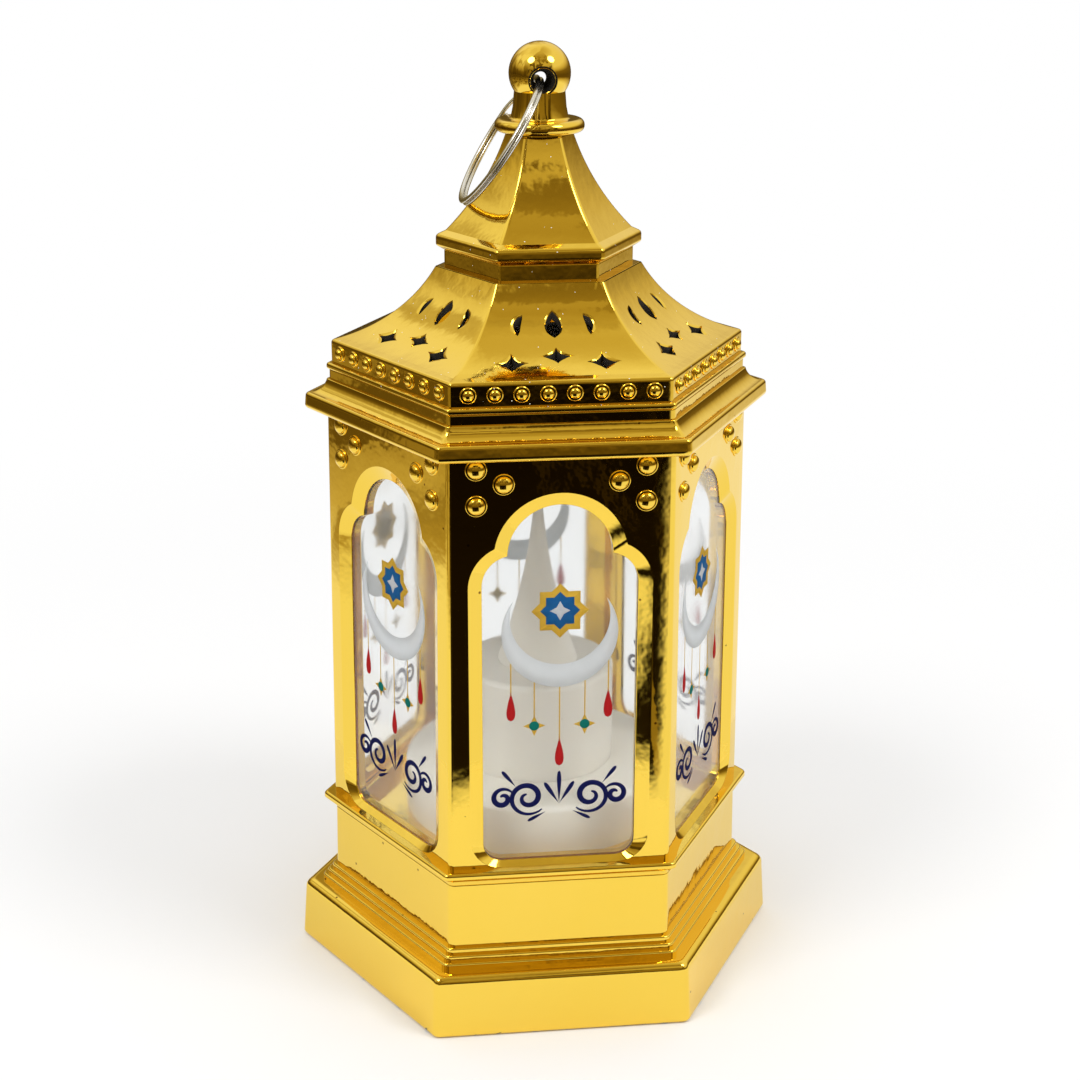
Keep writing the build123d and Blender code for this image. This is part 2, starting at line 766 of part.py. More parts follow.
# Candle base: a round drum that stands on the deck, with a post for the lamp, a ring that centres the
# candle and three bosses for its screws.
with BuildPart() as candle_base:
    with BuildSketch(Plane.XY.offset(deck_top)):
        Circle(drum_radius)
    extrude(amount=drum_height)
    fillet(candle_base.edges().group_by(Axis.Z)[-1], drum_edge)
    with BuildSketch(Plane.XY.offset(deck_top)):
        Circle(drum_radius - drum_wall)
    extrude(amount=drum_height - drum_wall, mode=Mode.SUBTRACT)
    with BuildSketch(Plane.XY.offset(deck_top)):
        with PolarLocations(candle_screw_circle, candle_screw_count):
            Circle(boss_radius)
    extrude(amount=drum_height - drum_wall)
    with BuildSketch(Plane.XY.offset(drum_top - drum_wall)):
        Circle(lamp_post_radius)
    extrude(amount=board_level - drum_top + drum_wall)
    with BuildSketch(Plane.XY.offset(drum_top)):
        Circle(candle_radius - candle_wall - fit_gap)
        Circle(candle_radius - 2 * candle_wall - fit_gap, mode=Mode.SUBTRACT)
    extrude(amount=candle_ring_height)
    with Locations((0, 0, board_level)):
        Hole(lamp_post_bore)
    with BuildSketch(Plane.XY.offset(deck_top)):
        with PolarLocations(candle_screw_circle, candle_screw_count):
            Circle(candle_screw_radius + screw_gap)
    extrude(amount=candle_screw_length, mode=Mode.SUBTRACT)
keep(candle_base, "candle_base")

# Candle body: a hollow cylinder with a hole in its top for the lamp.
with BuildPart() as candle_body:
    with BuildSketch(Plane.XY.offset(drum_top)):
        Circle(candle_radius)
    extrude(amount=candle_height)
    fillet(candle_body.edges().group_by(Axis.Z)[-1], candle_edge)
    with BuildSketch(Plane.XY.offset(drum_top)):
        Circle(candle_radius - candle_wall)
    extrude(amount=candle_height - candle_wall, mode=Mode.SUBTRACT)
    with Locations((0, 0, candle_top)):
        Hole(wick_hole_radius)
keep(candle_body, "candle_body")

# Candle flame: a hollow cap with drawn-in flanks and a blunt tip, over the lamp.
with BuildPart() as candle_flame:
    with BuildSketch(Plane.XZ):
        with BuildLine():
            flame_top = candle_top + flame_height
            flame_shoulder = (flame_tip_radius, flame_top - flame_tip_radius)
            bore_foot = (flame_bore_radius, candle_top)
            bore_top = (0, candle_top + flame_bore_height)
            hollow_arc((flame_radius, candle_top), flame_shoulder, flame_hollow)
            RadiusArc(flame_shoulder, (0, flame_top), -flame_tip_radius)
            Polyline((0, flame_top), bore_top, bore_foot, (flame_radius, candle_top))
        make_face()
    revolve(axis=Axis.Z)
keep(candle_flame, "candle_flame")

# Lamp: a round board on the post and a clear lamp with a flange and a domed head.
board_top = board_level + board_thickness
with BuildPart() as led_board:
    with BuildSketch(Plane.XY.offset(board_level)):
        Circle(board_radius)
    extrude(amount=board_thickness)
keep(led_board, "led_board")

with BuildPart() as led:
    with BuildSketch(Plane.XY.offset(board_top)):
        Circle(lamp_flange_radius)
    extrude(amount=lamp_flange_height)
    with BuildSketch(Plane.XY.offset(board_top)):
        Circle(lamp_radius)
    extrude(amount=lamp_length - lamp_radius)
    with Locations((0, 0, board_top + lamp_length - lamp_radius)):
        Sphere(lamp_radius)
keep(led, "led")

# Bottom cover: a plate recessed in the foot, with the battery box, the door's rebate and the switch's slot.
cell_pitch = 2 * cell_radius + cell_gap
plus_space = strip_thickness + 2 * rest_gap
minus_space = leaf_reach + plus_space
box_length = cell_length + plus_space + minus_space
box_width = cell_count * cell_pitch + cell_gap
box_inner_top = box_top - box_wall
strip_place = box_length / 2 - rest_gap - strip_thickness / 2
tab_top = box_top + tab_rise
ear_distance = box_width / 2 + box_wall + boss_radius
tongue_spread = box_length / 4
underside = Plane.XY.offset(cover_bottom).rotated((180, 0, 0))
slot_length = knob_length + switch_travel + 2 * slide_gap
slot_width = knob_width + 2 * slide_gap


def door_outline(margin):
    """The battery door's outline with its screw ear, grown by a margin."""
    Rectangle(box_length + 2 * (door_lip + margin), box_width + 2 * (door_lip + margin))
    with Locations((0, ear_distance / 2)):
        Rectangle(2 * (door_ear_radius + margin), ear_distance)
    with Locations((0, ear_distance)):
        Circle(door_ear_radius + margin)


def door_tongues(margin):
    """The two tongues on the door's front edge, grown by a margin."""
    tongue_reach_total = door_lip + tongue_reach + margin
    for x_side in (-1, 1):
        with Locations((x_side * tongue_spread, -box_width / 2, door_top + margin)):
            Box(
                tongue_width + 2 * margin,
                tongue_reach_total,
                tongue_height + 2 * margin,
                align=(Align.CENTER, Align.MAX, Align.MAX),
                mode=Mode.SUBTRACT if margin else Mode.ADD,
            )


cover_plate = hexagon_prism(foot_cavity - fit_gap, cover_bottom, cover_top)

with BuildPart() as bottom_cover:
    add(cover_plate)
    with BuildSketch(Plane.XY.offset(cover_top)):
        Rectangle(box_length + 2 * box_wall, box_width + 2 * box_wall)
    extrude(amount=box_top - cover_top)
    with BuildSketch(Plane.XY.offset(cover_top)):
        with Locations((0, ear_distance)):
            Circle(boss_radius)
    extrude(amount=door_screw_length)
    with BuildSketch(Plane.XY.offset(cover_bottom)):
        Rectangle(box_length, box_width)
    extrude(amount=box_inner_top - cover_bottom, mode=Mode.SUBTRACT)
    with BuildSketch(Plane.XY.offset(cover_bottom)):
        door_outline(fit_gap)
    extrude(amount=door_thickness, mode=Mode.SUBTRACT)
    door_tongues(fit_gap)
    with BuildSketch(Plane.XY.offset(box_inner_top)):
        for x_side in (-1, 1):
            with Locations((x_side * strip_place, x_side * cell_pitch)):
                Rectangle(strip_thickness + 2 * slide_gap, tab_width + 2 * slide_gap)
    extrude(amount=box_wall, mode=Mode.SUBTRACT)
    with BuildSketch(Plane.XY.offset(cover_bottom)):
        with Locations((0, -switch_distance)):
            Rectangle(slot_length, slot_width)
    extrude(amount=cover_thickness, mode=Mode.SUBTRACT)
    with BuildSketch(Plane.XY.offset(door_top)):
        with Locations((0, ear_distance)):
            Circle(door_screw_radius + screw_gap)
    extrude(amount=door_screw_length, mode=Mode.SUBTRACT)
    with Locations(underside):
        with Locations(*[(place.X, -place.Y) for place in cover_boss_places]):
            CounterSinkHole(cover_screw_radius + screw_gap, cover_screw_head + screw_gap)
keep(bottom_cover, "bottom_cover")

# Battery door: lies flush in the cover, held by two tongues and a screw in its ear.
with BuildPart() as battery_door:
    with BuildSketch(Plane.XY.offset(cover_bottom)):
        door_outline(0)
    extrude(amount=door_thickness)
    door_tongues(0)
    with Locations(underside):
        with Locations((0, -ear_distance)):
            CounterSinkHole(door_screw_radius + screw_gap, door_screw_head + screw_gap)
keep(battery_door, "battery_door")

# Screws: all countersunk, in from below.
cover_screw = flat_screw(cover_screw_radius, cover_screw_head, cover_screw_length)
with BuildPart() as cover_screws:
    with Locations(*[(place.X, place.Y, cover_bottom) for place in cover_boss_places]):
        add(cover_screw)
keep(cover_screws, "cover_screws")

door_screw = flat_screw(door_screw_radius, door_screw_head, door_screw_length)
with BuildPart() as battery_door_screw:
    with Locations((0, ear_distance, cover_bottom)):
        add(door_screw)
keep(battery_door_screw, "battery_door_screw")

candle_screw = flat_screw(candle_screw_radius, candle_screw_head, candle_screw_length)
with BuildPart() as candle_screws:
    with Locations((0, 0, deck_top - deck_thickness)):
        with PolarLocations(candle_screw_circle, candle_screw_count):
            add(candle_screw)
keep(candle_screws, "candle_screws")

# Cells: three in a row, each turned the other way from its neighbour.
for cell in range(cell_count):
    plus_side = 1 if cell % 2 == 0 else -1
    cell_y = (cell - (cell_count - 1) / 2) * cell_pitch
    cell_end = Vector(-plus_side * (box_length / 2 - minus_space), cell_y, cell_level)
    with BuildPart() as aaa_cell:
        with BuildSketch(Plane(origin=cell_end, x_dir=(0, 1, 0), z_dir=(plus_side, 0, 0))):
            Circle(cell_radius)
        extrude(amount=cell_length - cell_nub_length)
        fillet(aaa_cell.edges().filter_by(GeomType.CIRCLE), cell_edge)
        with BuildSketch(Plane(origin=cell_end, x_dir=(0, 1, 0), z_dir=(plus_side, 0, 0))):
            Circle(cell_nub_radius)
        extrude(amount=cell_length)
    keep(aaa_cell, f"aaa_cell_{cell + 1}")

# Battery contacts: flat strips against the box's ends, with a bowed leaf at each minus end. Two strips
# bridge neighbouring cells, and the two outer ones have a tab that comes up through the box for a lead.
strip_spans = [(-1, 0, 0), (1, 0, 1), (-1, 1, 2), (1, 2, 2)]
strip_bottom = cell_level - strip_height / 2
with BuildPart() as battery_contacts:
    for end, first_cell, last_cell in strip_spans:
        first_y = (first_cell - (cell_count - 1) / 2) * cell_pitch
        last_y = (last_cell - (cell_count - 1) / 2) * cell_pitch
        with BuildSketch(Plane.XY.offset(strip_bottom)):
            with Locations((end * strip_place, (first_y + last_y) / 2)):
                Rectangle(strip_thickness, last_y - first_y + strip_width)
        extrude(amount=strip_height)
        if first_cell == last_cell:
            with BuildSketch(Plane.XY.offset(cell_level)):
                with Locations((end * strip_place, first_y)):
                    Rectangle(strip_thickness, tab_width)
            extrude(amount=tab_top - cell_level)
        for cell in {first_cell, last_cell}:
            plus_side = 1 if cell % 2 == 0 else -1
            if plus_side == end:
                continue
            leaf_y = (cell - (cell_count - 1) / 2) * cell_pitch
            leaf_place = end * (strip_place - strip_thickness / 2)
            leaf_foot = Vector(leaf_place, leaf_y + leaf_width / 2, cell_level)
            leaf_half = (strip_height - strip_thickness) / 2
            with BuildSketch(Plane(origin=leaf_foot, x_dir=(-end, 0, 0), z_dir=(0, end, 0))):
                with BuildLine():
                    leaf_lower = (0, -leaf_half)
                    leaf_upper = (0, leaf_half)
                    inner_lower = (0, -leaf_half + strip_thickness)
                    inner_upper = (0, leaf_half - strip_thickness)
                    ThreePointArc(leaf_lower, (leaf_reach, 0), leaf_upper)
                    Line(leaf_upper, inner_upper)
                    ThreePointArc(inner_upper, (leaf_reach - strip_thickness, 0), inner_lower)
                    Line(inner_lower, leaf_lower)
                make_face()
            extrude(amount=-end * leaf_width)
keep(battery_contacts, "battery_contacts")

# Switch: a body with three terminals on the cover, and a slider whose knob shows in the cover's slot.
switch_top = cover_top + switch_height
with BuildPart() as switch_body:
    with BuildSketch(Plane.XY.offset(cover_top)):
        with Locations((0, -switch_distance)):
            Rectangle(switch_length, switch_width)
    extrude(amount=switch_height)
    with BuildSketch(Plane.XY.offset(cover_top)):
        with Locations((0, -switch_distance)):
            Rectangle(slot_length, slot_width)
    extrude(amount=switch_floor, mode=Mode.SUBTRACT)
    with BuildSketch(Plane.XY.offset(cover_top + switch_floor)):
        with Locations((0, -switch_distance)):
            Rectangle(carriage_length + switch_travel + 2 * slide_gap, carriage_width + 2 * slide_gap)
    extrude(amount=carriage_height + 2 * slide_gap, mode=Mode.SUBTRACT)
    with BuildSketch(Plane.XY.offset(switch_top)):
        with Locations((0, -switch_distance)):
            with GridLocations(terminal_pitch, 0, terminal_count, 1):
                Rectangle(terminal_width, terminal_thickness)
    extrude(amount=terminal_rise)
keep(switch_body, "switch_body")

with BuildPart() as switch_slider:
    slider_place = (-switch_travel / 2, -switch_distance)
    carriage_bottom = cover_top + switch_floor + slide_gap
    with BuildSketch(Plane.XY.offset(carriage_bottom)):
        with Locations(slider_place):
            Rectangle(carriage_length, carriage_width)
    extrude(amount=carriage_height)
    with BuildSketch(Plane.XY.offset(carriage_bottom)):
        with Locations(slider_place):
            Rectangle(knob_length, knob_width)
    extrude(amount=cover_top - knob_drop - carriage_bottom)
keep(switch_slider, "switch_slider")

# Leads: insulated wires from the contacts and the switch up through the post to the lamp's board.
lead_level = tab_top + lead_run
terminal_top = switch_top + terminal_rise
lead_routes = {
    "switch_lead": [
        (strip_place, cell_pitch, tab_top),
        (strip_place, cell_pitch, lead_level),
        (strip_place, -cell_pitch, lead_level),
        (terminal_pitch, -switch_distance, lead_level),
        (terminal_pitch, -switch_distance, terminal_top),
    ],
    "led_lead_plus": [
        (0, -switch_distance, terminal_top),
        (0, -switch_distance, lead_level),
        (0, -lead_spread, lead_level),
        (0, -lead_spread, board_level),
    ],
    "led_lead_minus": [
        (-strip_place, -cell_pitch, tab_top),
        (-strip_place, -cell_pitch, lead_level),
        (-lead_spread, 0, lead_level),
        (-lead_spread, 0, board_level),
    ],
}
for name, route in lead_routes.items():
    with BuildPart() as lead:
        with BuildLine() as lead_path:
            FilletPolyline(*route, radius=lead_bend)
        with BuildSketch(Plane(origin=route[0], z_dir=(0, 0, 1))):
            Circle(lead_radius)
        sweep(path=lead_path.wires()[0])
    keep(lead, name)
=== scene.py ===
import math

import bmesh
import bpy
import numpy as np
from mathutils import Matrix, Vector


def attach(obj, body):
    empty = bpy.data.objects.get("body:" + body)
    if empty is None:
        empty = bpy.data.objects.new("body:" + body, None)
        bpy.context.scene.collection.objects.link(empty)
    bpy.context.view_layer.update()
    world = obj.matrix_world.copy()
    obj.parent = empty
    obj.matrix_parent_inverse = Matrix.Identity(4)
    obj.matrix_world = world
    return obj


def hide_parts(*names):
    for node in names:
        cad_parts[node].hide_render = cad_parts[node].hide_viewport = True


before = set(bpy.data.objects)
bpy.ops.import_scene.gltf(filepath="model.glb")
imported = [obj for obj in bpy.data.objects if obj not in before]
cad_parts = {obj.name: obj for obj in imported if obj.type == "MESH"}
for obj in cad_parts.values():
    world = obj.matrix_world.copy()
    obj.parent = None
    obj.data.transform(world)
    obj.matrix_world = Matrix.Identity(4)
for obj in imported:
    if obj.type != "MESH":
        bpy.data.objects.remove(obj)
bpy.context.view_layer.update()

# Base: the foot, three fine ribs and the plain block of the lantern, one hollow moulding in plastic
# with a bright gold plating, chipped along the floor. Its deck closes the top, carries the candle and has
# an upright rim that the body slips over.
mm = 0.001
sides = 6
flat_share = math.cos(math.pi / sides)
slope_share = math.tan(math.pi / sides)
side_angles = np.arange(sides) * 2 * math.pi / sides - math.pi / 2
corner_steps = 6
face_shares = np.array([-1, -0.97, 0.97, 1])

base_corner = 1.7
base_wall = 2.0
foot_width = 52.0 * flat_share
foot_top_width = 51.0 * flat_share
foot_height = 13.5
rib_rise = 1.2
rib_tread = 1.02 * flat_share
block_width = 44.15 * flat_share
deck_width = 43.9 * flat_share
rib_top = foot_height + 3 * rib_rise
deck_top = rib_top + 13.9
deck_bottom = deck_top - base_wall
foot_cavity = foot_top_width - base_wall
block_cavity = deck_width - base_wall
foot_ceiling = foot_height - base_wall
register_width = 33.9
register_opening = 32.3
register_top = deck_top + 3
lead_hole = 3.6
rib_edge = 0.35
deck_edge = 0.3


def rounded(corners, steps=6):
    """A section through corners of half width, height and fillet radius. A corner with a radius becomes
    an arc that touches both its sides: a middle point plus a direction that turns evenly from one side
    to the other. A point just past each end of the arc keeps the flat beside it flat."""
    corners = np.array(corners, float)
    points = corners[:, :2]
    share = np.linspace(0, 1, steps + 1)[:, None]
    runs = []
    befores = np.roll(points, 1, 0)
    afters = np.roll(points, -1, 0)
    for here, last, following, radius in zip(points, befores, afters, corners[:, 2]):
        if radius == 0:
            runs.append(here[None])
            continue
        back = (last - here) / np.linalg.norm(last - here)
        ahead = (following - here) / np.linalg.norm(following - here)
        half = math.acos(back @ ahead) / 2
        reach = radius / math.tan(half)
        middle = here + (back + ahead) / np.linalg.norm(back + ahead) * radius / math.sin(half)
        turn = math.pi - 2 * half
        start = here + back * reach - middle
        end = here + ahead * reach - middle
        arc = (np.sin((1 - share) * turn) * start + np.sin(share * turn) * end) / math.sin(turn)
        hold = reach + radius / 4
        runs += [here[None] + back * hold, middle + arc, here[None] + ahead * hold]
    return np.vstack(runs)


def hexagonal(section, corner):
    """Carries a section of half widths and heights once round a hexagon with rounded corners: each ring
    is the hexagon shrunk by the corner radius, plus that radius along the way the surface faces. Along
    a side only the first part moves, round a corner only the second."""
    along = np.concatenate([face_shares, np.ones(corner_steps - 1)])
    bend = np.concatenate([np.zeros(len(face_shares)), np.linspace(0, 1, corner_steps + 1)[1:-1]])
    angle = side_angles[:, None] + np.zeros_like(along)
    flat = np.stack([
        np.cos(angle) - along * slope_share * np.sin(angle),
        np.sin(angle) + along * slope_share * np.cos(angle),
    ], -1).reshape(-1, 2)
    facing = (angle + bend * 2 * math.pi / sides).ravel()
    outward = np.stack([np.cos(facing), np.sin(facing)], -1)
    width = section[:, :1, None]
    radius = np.minimum(corner, width / 2)
    plan = (width - radius) * flat + radius * outward
    height = np.broadcast_to(section[:, 1:, None], plan.shape[:2] + (1,))
    return np.concatenate([plan, height], -1)


def make_piece(name, patches, material, sharp_angle=32, lining=(), lining_material=None):
    """One mesh from patches. A patch is a grid of points in mm, with two words on whether its rows and
    its columns close into loops, and the patches of a lining have a material of their own. Points that
    meet are merged, all faces turn outwards, and edges sharper than the angle stay crisp."""
    points = []
    quads = []
    count = 0
    for grid, rows_close, columns_close in [*patches, *lining]:
        index = count + np.arange(grid.shape[0] * grid.shape[1]).reshape(grid.shape[:2])
        count += index.size
        if rows_close:
            index = np.vstack([index, index[:1]])
        if columns_close:
            index = np.hstack([index, index[:, :1]])
        corners = [index[:-1, :-1], index[:-1, 1:], index[1:, 1:], index[1:, :-1]]
        quads.append(np.stack(corners, -1).reshape(-1, 4))
        points.append(grid.reshape(-1, 3))
    mesh = bpy.data.meshes.new(name)
    mesh.from_pydata(np.vstack(points) * mm, [], np.vstack(quads).tolist())
    mesh.materials.append(material)
    if lining:
        mesh.materials.append(lining_material)
        plated = sum(len(part) for part in quads[:len(patches)])
        lined = np.arange(len(mesh.polygons)) >= plated
        mesh.polygons.foreach_set("material_index", lined.astype(np.int32))
    shape = bmesh.new()
    shape.from_mesh(mesh)
    bmesh.ops.remove_doubles(shape, verts=shape.verts, dist=0.002 * mm)
    bmesh.ops.recalc_face_normals(shape, faces=shape.faces)
    shape.to_mesh(mesh)
    shape.free()
    mesh.shade_smooth()
    mesh.set_sharp_from_angle(angle=math.radians(sharp_angle))
    piece = bpy.data.objects.new(name, mesh)
    bpy.context.scene.collection.objects.link(piece)
    return piece


def set_inputs(node, inputs):
    """Fills inputs of a shader node: a socket is linked to its input, any other value is set on it."""
    for name, value in inputs.items():
        if isinstance(value, bpy.types.NodeSocket):
            node.id_data.links.new(value, node.inputs[name])
        else:
            node.inputs[name].default_value = value


def add_node(tree, kind, inputs, **options):
    """Puts a shader node of a kind into a tree, with its options and its inputs."""
    node = tree.nodes.new("ShaderNode" + kind)
    for option, value in options.items():
        setattr(node, option, value)
    set_inputs(node, inputs)
    return node


def compute(tree, operation, *values, **options):
    """One step of arithmetic in a shader, on sockets or numbers."""
    return add_node(tree, "Math", dict(enumerate(values)), operation=operation, **options).outputs[0]


def spread(tree, value, low, high, first=0.0, last=1.0, curve="LINEAR"):
    """Carries a value that lies between low and high to where it lies between first and last."""
    inputs = {"Value": value, "From Min": low, "From Max": high, "To Min": first, "To Max": last}
    return add_node(tree, "MapRange", inputs, interpolation_type=curve).outputs["Result"]


def blend(tree, factor, first, second):
    """Mixes two colours, or sockets that give colours, by a factor between 0 and 1."""
    inputs = {"Factor": factor, "A": first, "B": second}
    return add_node(tree, "Mix", inputs, data_type="RGBA").outputs["Result"]


def make_group(name, inputs, output):
    """An empty shader group with named value inputs and one output: its tree, its inputs, its output and
    the place on the object."""
    tree = bpy.data.node_groups.new(name, "ShaderNodeTree")
    for socket, value in inputs.items():
        made = tree.interface.new_socket(socket, in_out="INPUT", socket_type="NodeSocketFloat")
        made.default_value = value
    tree.interface.new_socket(output, in_out="OUTPUT", socket_type="NodeSocketFloat")
    entry = tree.nodes.new("NodeGroupInput")
    leave = tree.nodes.new("NodeGroupOutput")
    place = tree.nodes.new("ShaderNodeTexCoord")
    return tree, entry.outputs, leave.inputs[output], place.outputs["Object"]


# Slow waves that every moulded or drawn surface has: the sum of two layers of noise, one six times finer
# and weaker than the other, as a height.
waves, wave_in, wave_out, place = make_group("surface_waves", {"Scale": 60, "Fine": 0.15}, "Height")
finer = compute(waves, "MULTIPLY", wave_in["Scale"], 6)
broad = add_node(waves, "TexNoise", {"Vector": place, "Scale": wave_in["Scale"], "Detail": 1})
fine = add_node(waves, "TexNoise", {"Vector": place, "Scale": finer, "Detail": 2})
layers = compute(waves, "MULTIPLY_ADD", fine.outputs["Fac"], wave_in["Fine"], broad.outputs["Fac"])
waves.links.new(layers, wave_out)

# Sparse round specks, such as dust under a plating: the middle of a cell is a speck where the cell's
# own random number is under the amount.
speck_values = {"Scale": 900, "Amount": 0.05, "Size": 0.25}
specks, speck_in, speck_out, place = make_group("specks", speck_values, "Mask")
cells = add_node(specks, "TexVoronoi", {"Vector": place, "Scale": speck_in["Scale"]})
pick = add_node(specks, "SeparateColor", {0: cells.outputs["Color"]})
inside = compute(specks, "LESS_THAN", cells.outputs["Distance"], speck_in["Size"])
chosen = compute(specks, "LESS_THAN", pick.outputs[0], speck_in["Amount"])
specks.links.new(compute(specks, "MULTIPLY", inside, chosen), speck_out)


def place_group(tree, group, **values):
    """Puts a shader group into a material's tree with its own values."""
    return add_node(tree, "Group", values, node_tree=group).outputs[0]


def new_material(name):
    """A new material, its tree and the Principled shader in it."""
    material = bpy.data.materials.new(name)
    material.use_nodes = True
    return material, material.node_tree, material.node_tree.nodes["Principled BSDF"]


def make_finish(
    name, colours, roughness, wave_scale, wave_depth, speck_amount=0.0, metallic=0.0, dusty=False,
):
    """A finish on one Principled shader: the colour drifts between two tones, a third shows in specks,
    the gloss varies between two values, and slow waves bend the reflections. On a dusty metal the specks
    are finer and aren't metal."""
    material, tree, shader = new_material(name)
    drift = place_group(tree, waves, Scale=wave_scale * 0.7, Fine=0.3)
    tone = blend(tree, drift, (*colours[0], 1), (*colours[1], 1))
    speck_size = {"Scale": 1500, "Size": 0.16} if dusty else {"Scale": 900, "Size": 0.25}
    mask = place_group(tree, specks, Amount=speck_amount, **speck_size)
    gloss = place_group(tree, waves, Scale=wave_scale * 2.3, Fine=0.6)
    height = place_group(tree, waves, Scale=wave_scale, Fine=0.18)
    bump = add_node(tree, "Bump", {"Height": height, "Strength": 1, "Distance": wave_depth * mm})
    set_inputs(shader, {
        "Base Color": blend(tree, mask, tone, (*colours[2], 1)),
        "Metallic": compute(tree, "SUBTRACT", metallic, mask) if dusty else metallic,
        "Roughness": spread(tree, gloss, 0.3, 0.8, *roughness),
        "Normal": bump.outputs["Normal"],
    })
    return material


def chip_edge(material, reach, limit, core):
    """Chips a plating along the floor: where noise, plus a share that grows from the reach down to the
    floor, passes a limit, the plating is gone and the core shows."""
    tree = material.node_tree
    shader = tree.nodes["Principled BSDF"]
    plating = shader.inputs["Base Color"].links[0].from_socket
    place = add_node(tree, "TexCoord", {}).outputs["Object"]
    height = add_node(tree, "SeparateXYZ", {0: place}).outputs["Z"]
    low = spread(tree, height, reach * mm, 0, 0, 0.3)
    likely = compute(tree, "ADD", place_group(tree, waves, Scale=420, Fine=0.5), low)
    chipped = compute(tree, "GREATER_THAN", likely, limit)
    set_inputs(shader, {
        "Base Color": blend(tree, chipped, plating, (*core, 1)),
        "Metallic": compute(tree, "SUBTRACT", 1, chipped),
    })


gold_tones = [(0.94, 0.655, 0.1), (0.92, 0.63, 0.08), (0.3, 0.16, 0.02)]
gold_surface = {
    "roughness": (0.015, 0.05), "wave_scale": 48, "wave_depth": 0.22, "speck_amount": 0.004, "metallic": 1.0,
}
gold_plating = make_finish("gold_plating", gold_tones, **gold_surface)
worn_plating = make_finish("worn_plating", gold_tones, **gold_surface)
chip_edge(worn_plating, reach=2.2, limit=1.22, core=(0.03, 0.022, 0.012))

base_section = rounded([
    (foot_cavity, 0, 0),
    (foot_width, 0, 1.0),
    (foot_top_width, foot_height, base_corner),
    (block_width + 3 * rib_tread, foot_height, 0),
    (block_width + 3 * rib_tread, foot_height + rib_rise, rib_edge),
    (block_width + 2 * rib_tread, foot_height + rib_rise, 0),
    (block_width + 2 * rib_tread, foot_height + 2 * rib_rise, rib_edge),
    (block_width + rib_tread, foot_height + 2 * rib_rise, 0),
    (block_width + rib_tread, rib_top, rib_edge),
    (block_width, rib_top, 0),
    (deck_width, deck_top, deck_edge),
    (register_width, deck_top, 0),
    (register_width, register_top, deck_edge),
    (register_opening, register_top, deck_edge),
    (register_opening, deck_top, 0),
    (lead_hole, deck_top, 0),
    (lead_hole, deck_bottom, 0),
    (block_cavity, deck_bottom, 0),
    (block_cavity, foot_ceiling, 0),
    (foot_cavity, foot_ceiling, 0),
])
base = make_piece("base", [(hexagonal(base_section, base_corner), True, True)], worn_plating)
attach(base, "lantern")
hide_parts("base_shell")

# Body: the ledge and the six-sided sleeve, one plated moulding. Every side has an arch with stepped
# shoulders, a splayed band round it, a slot behind that the pane slides into, and six beads. The plating
# is duller inside, and its darker tones there are painted shade.
ledge_top = deck_top + 3.5
sleeve_top = ledge_top + 85.7
sleeve_foot = ledge_top - 0.2
sleeve_width = 44.0 * flat_share
sleeve_top_width = 43.0 * flat_share
sleeve_slope = (sleeve_width - sleeve_top_width) / (sleeve_top - ledge_top)
sleeve_corner = 1.4
frame_wall = 4.1
arch_radius = 10.2
arch_level = sleeve_top - 20.35
shoulder_radius = 6.2
shoulder_spread = 8.95
shoulder_level = sleeve_top - 26.25
sill_level = ledge_top + 1.0
sill_splay_share = 0.36
sill_corner = 3.6
sill_points = 5
corner_points = 8
jamb_points = 6
shoulder_points = 12
arch_points = 15

ledge_width = 46.4 * flat_share
cove_turn = np.linspace(0, math.pi / 2, 9)[1:-1]
cove_rise = 2.2
cove = np.stack([
    ledge_width + (deck_width - ledge_width) * np.cos(cove_turn),
    deck_top + cove_rise * np.sin(cove_turn),
    np.zeros(len(cove_turn)),
], -1)
ledge_section = rounded([
    (sleeve_width - frame_wall, deck_top, 0),
    (deck_width, deck_top, 0),
    *cove,
    (ledge_width, deck_top + cove_rise, 0.2),
    (ledge_width, ledge_top, 0.6),
    (sleeve_width - frame_wall, ledge_top, 0),
])


def mirrored(across, height):
    """An outline from its right half, as places across and heights: the same points follow in reverse,
    on the left."""
    right = np.stack([across, height], -1)
    return np.vstack([right, right[-2:0:-1] * (-1, 1)])


def arch_outline(margin):
    """The window's outline grown by a margin, as places across and heights, from the middle of the sill
    round by the right. Sill, corner, jamb, shoulder and arch follow each other as lines and arcs, and
    the arch meets the shoulder where their two circles cross."""
    arch = arch_radius + margin
    shoulder = shoulder_radius + margin
    corner = sill_corner + margin
    half_width = shoulder_spread + shoulder
    sill = sill_level - margin * sill_splay_share
    drop = arch_level - shoulder_level
    apart = math.hypot(shoulder_spread, drop)
    reach = (apart**2 + arch**2 - shoulder**2) / (2 * apart)
    arch_start = math.acos(reach / arch) - math.atan2(drop, shoulder_spread)
    cusp = np.array([arch * math.cos(arch_start), arch_level + arch * math.sin(arch_start)])
    shoulder_end = math.atan2(cusp[1] - shoulder_level, cusp[0] - shoulder_spread)
    corner_turn = np.linspace(-math.pi / 2, 0, corner_points)
    shoulder_turn = np.linspace(0, shoulder_end, shoulder_points)
    arch_turn = np.linspace(arch_start, math.pi / 2, arch_points + 1)[1:]
    across = np.concatenate([
        np.linspace(0, half_width - corner, sill_points + 1)[:-1],
        half_width - corner + corner * np.cos(corner_turn),
        np.full(jamb_points, half_width),
        shoulder_spread + shoulder * np.cos(shoulder_turn),
        arch * np.cos(arch_turn),
    ])
    height = np.concatenate([
        np.full(sill_points, sill),
        sill + corner + corner * np.sin(corner_turn),
        np.linspace(sill + corner, shoulder_level, jamb_points + 2)[1:-1],
        shoulder_level + shoulder * np.sin(shoulder_turn),
        arch_level + arch * np.sin(arch_turn),
    ])
    return mirrored(across, height)


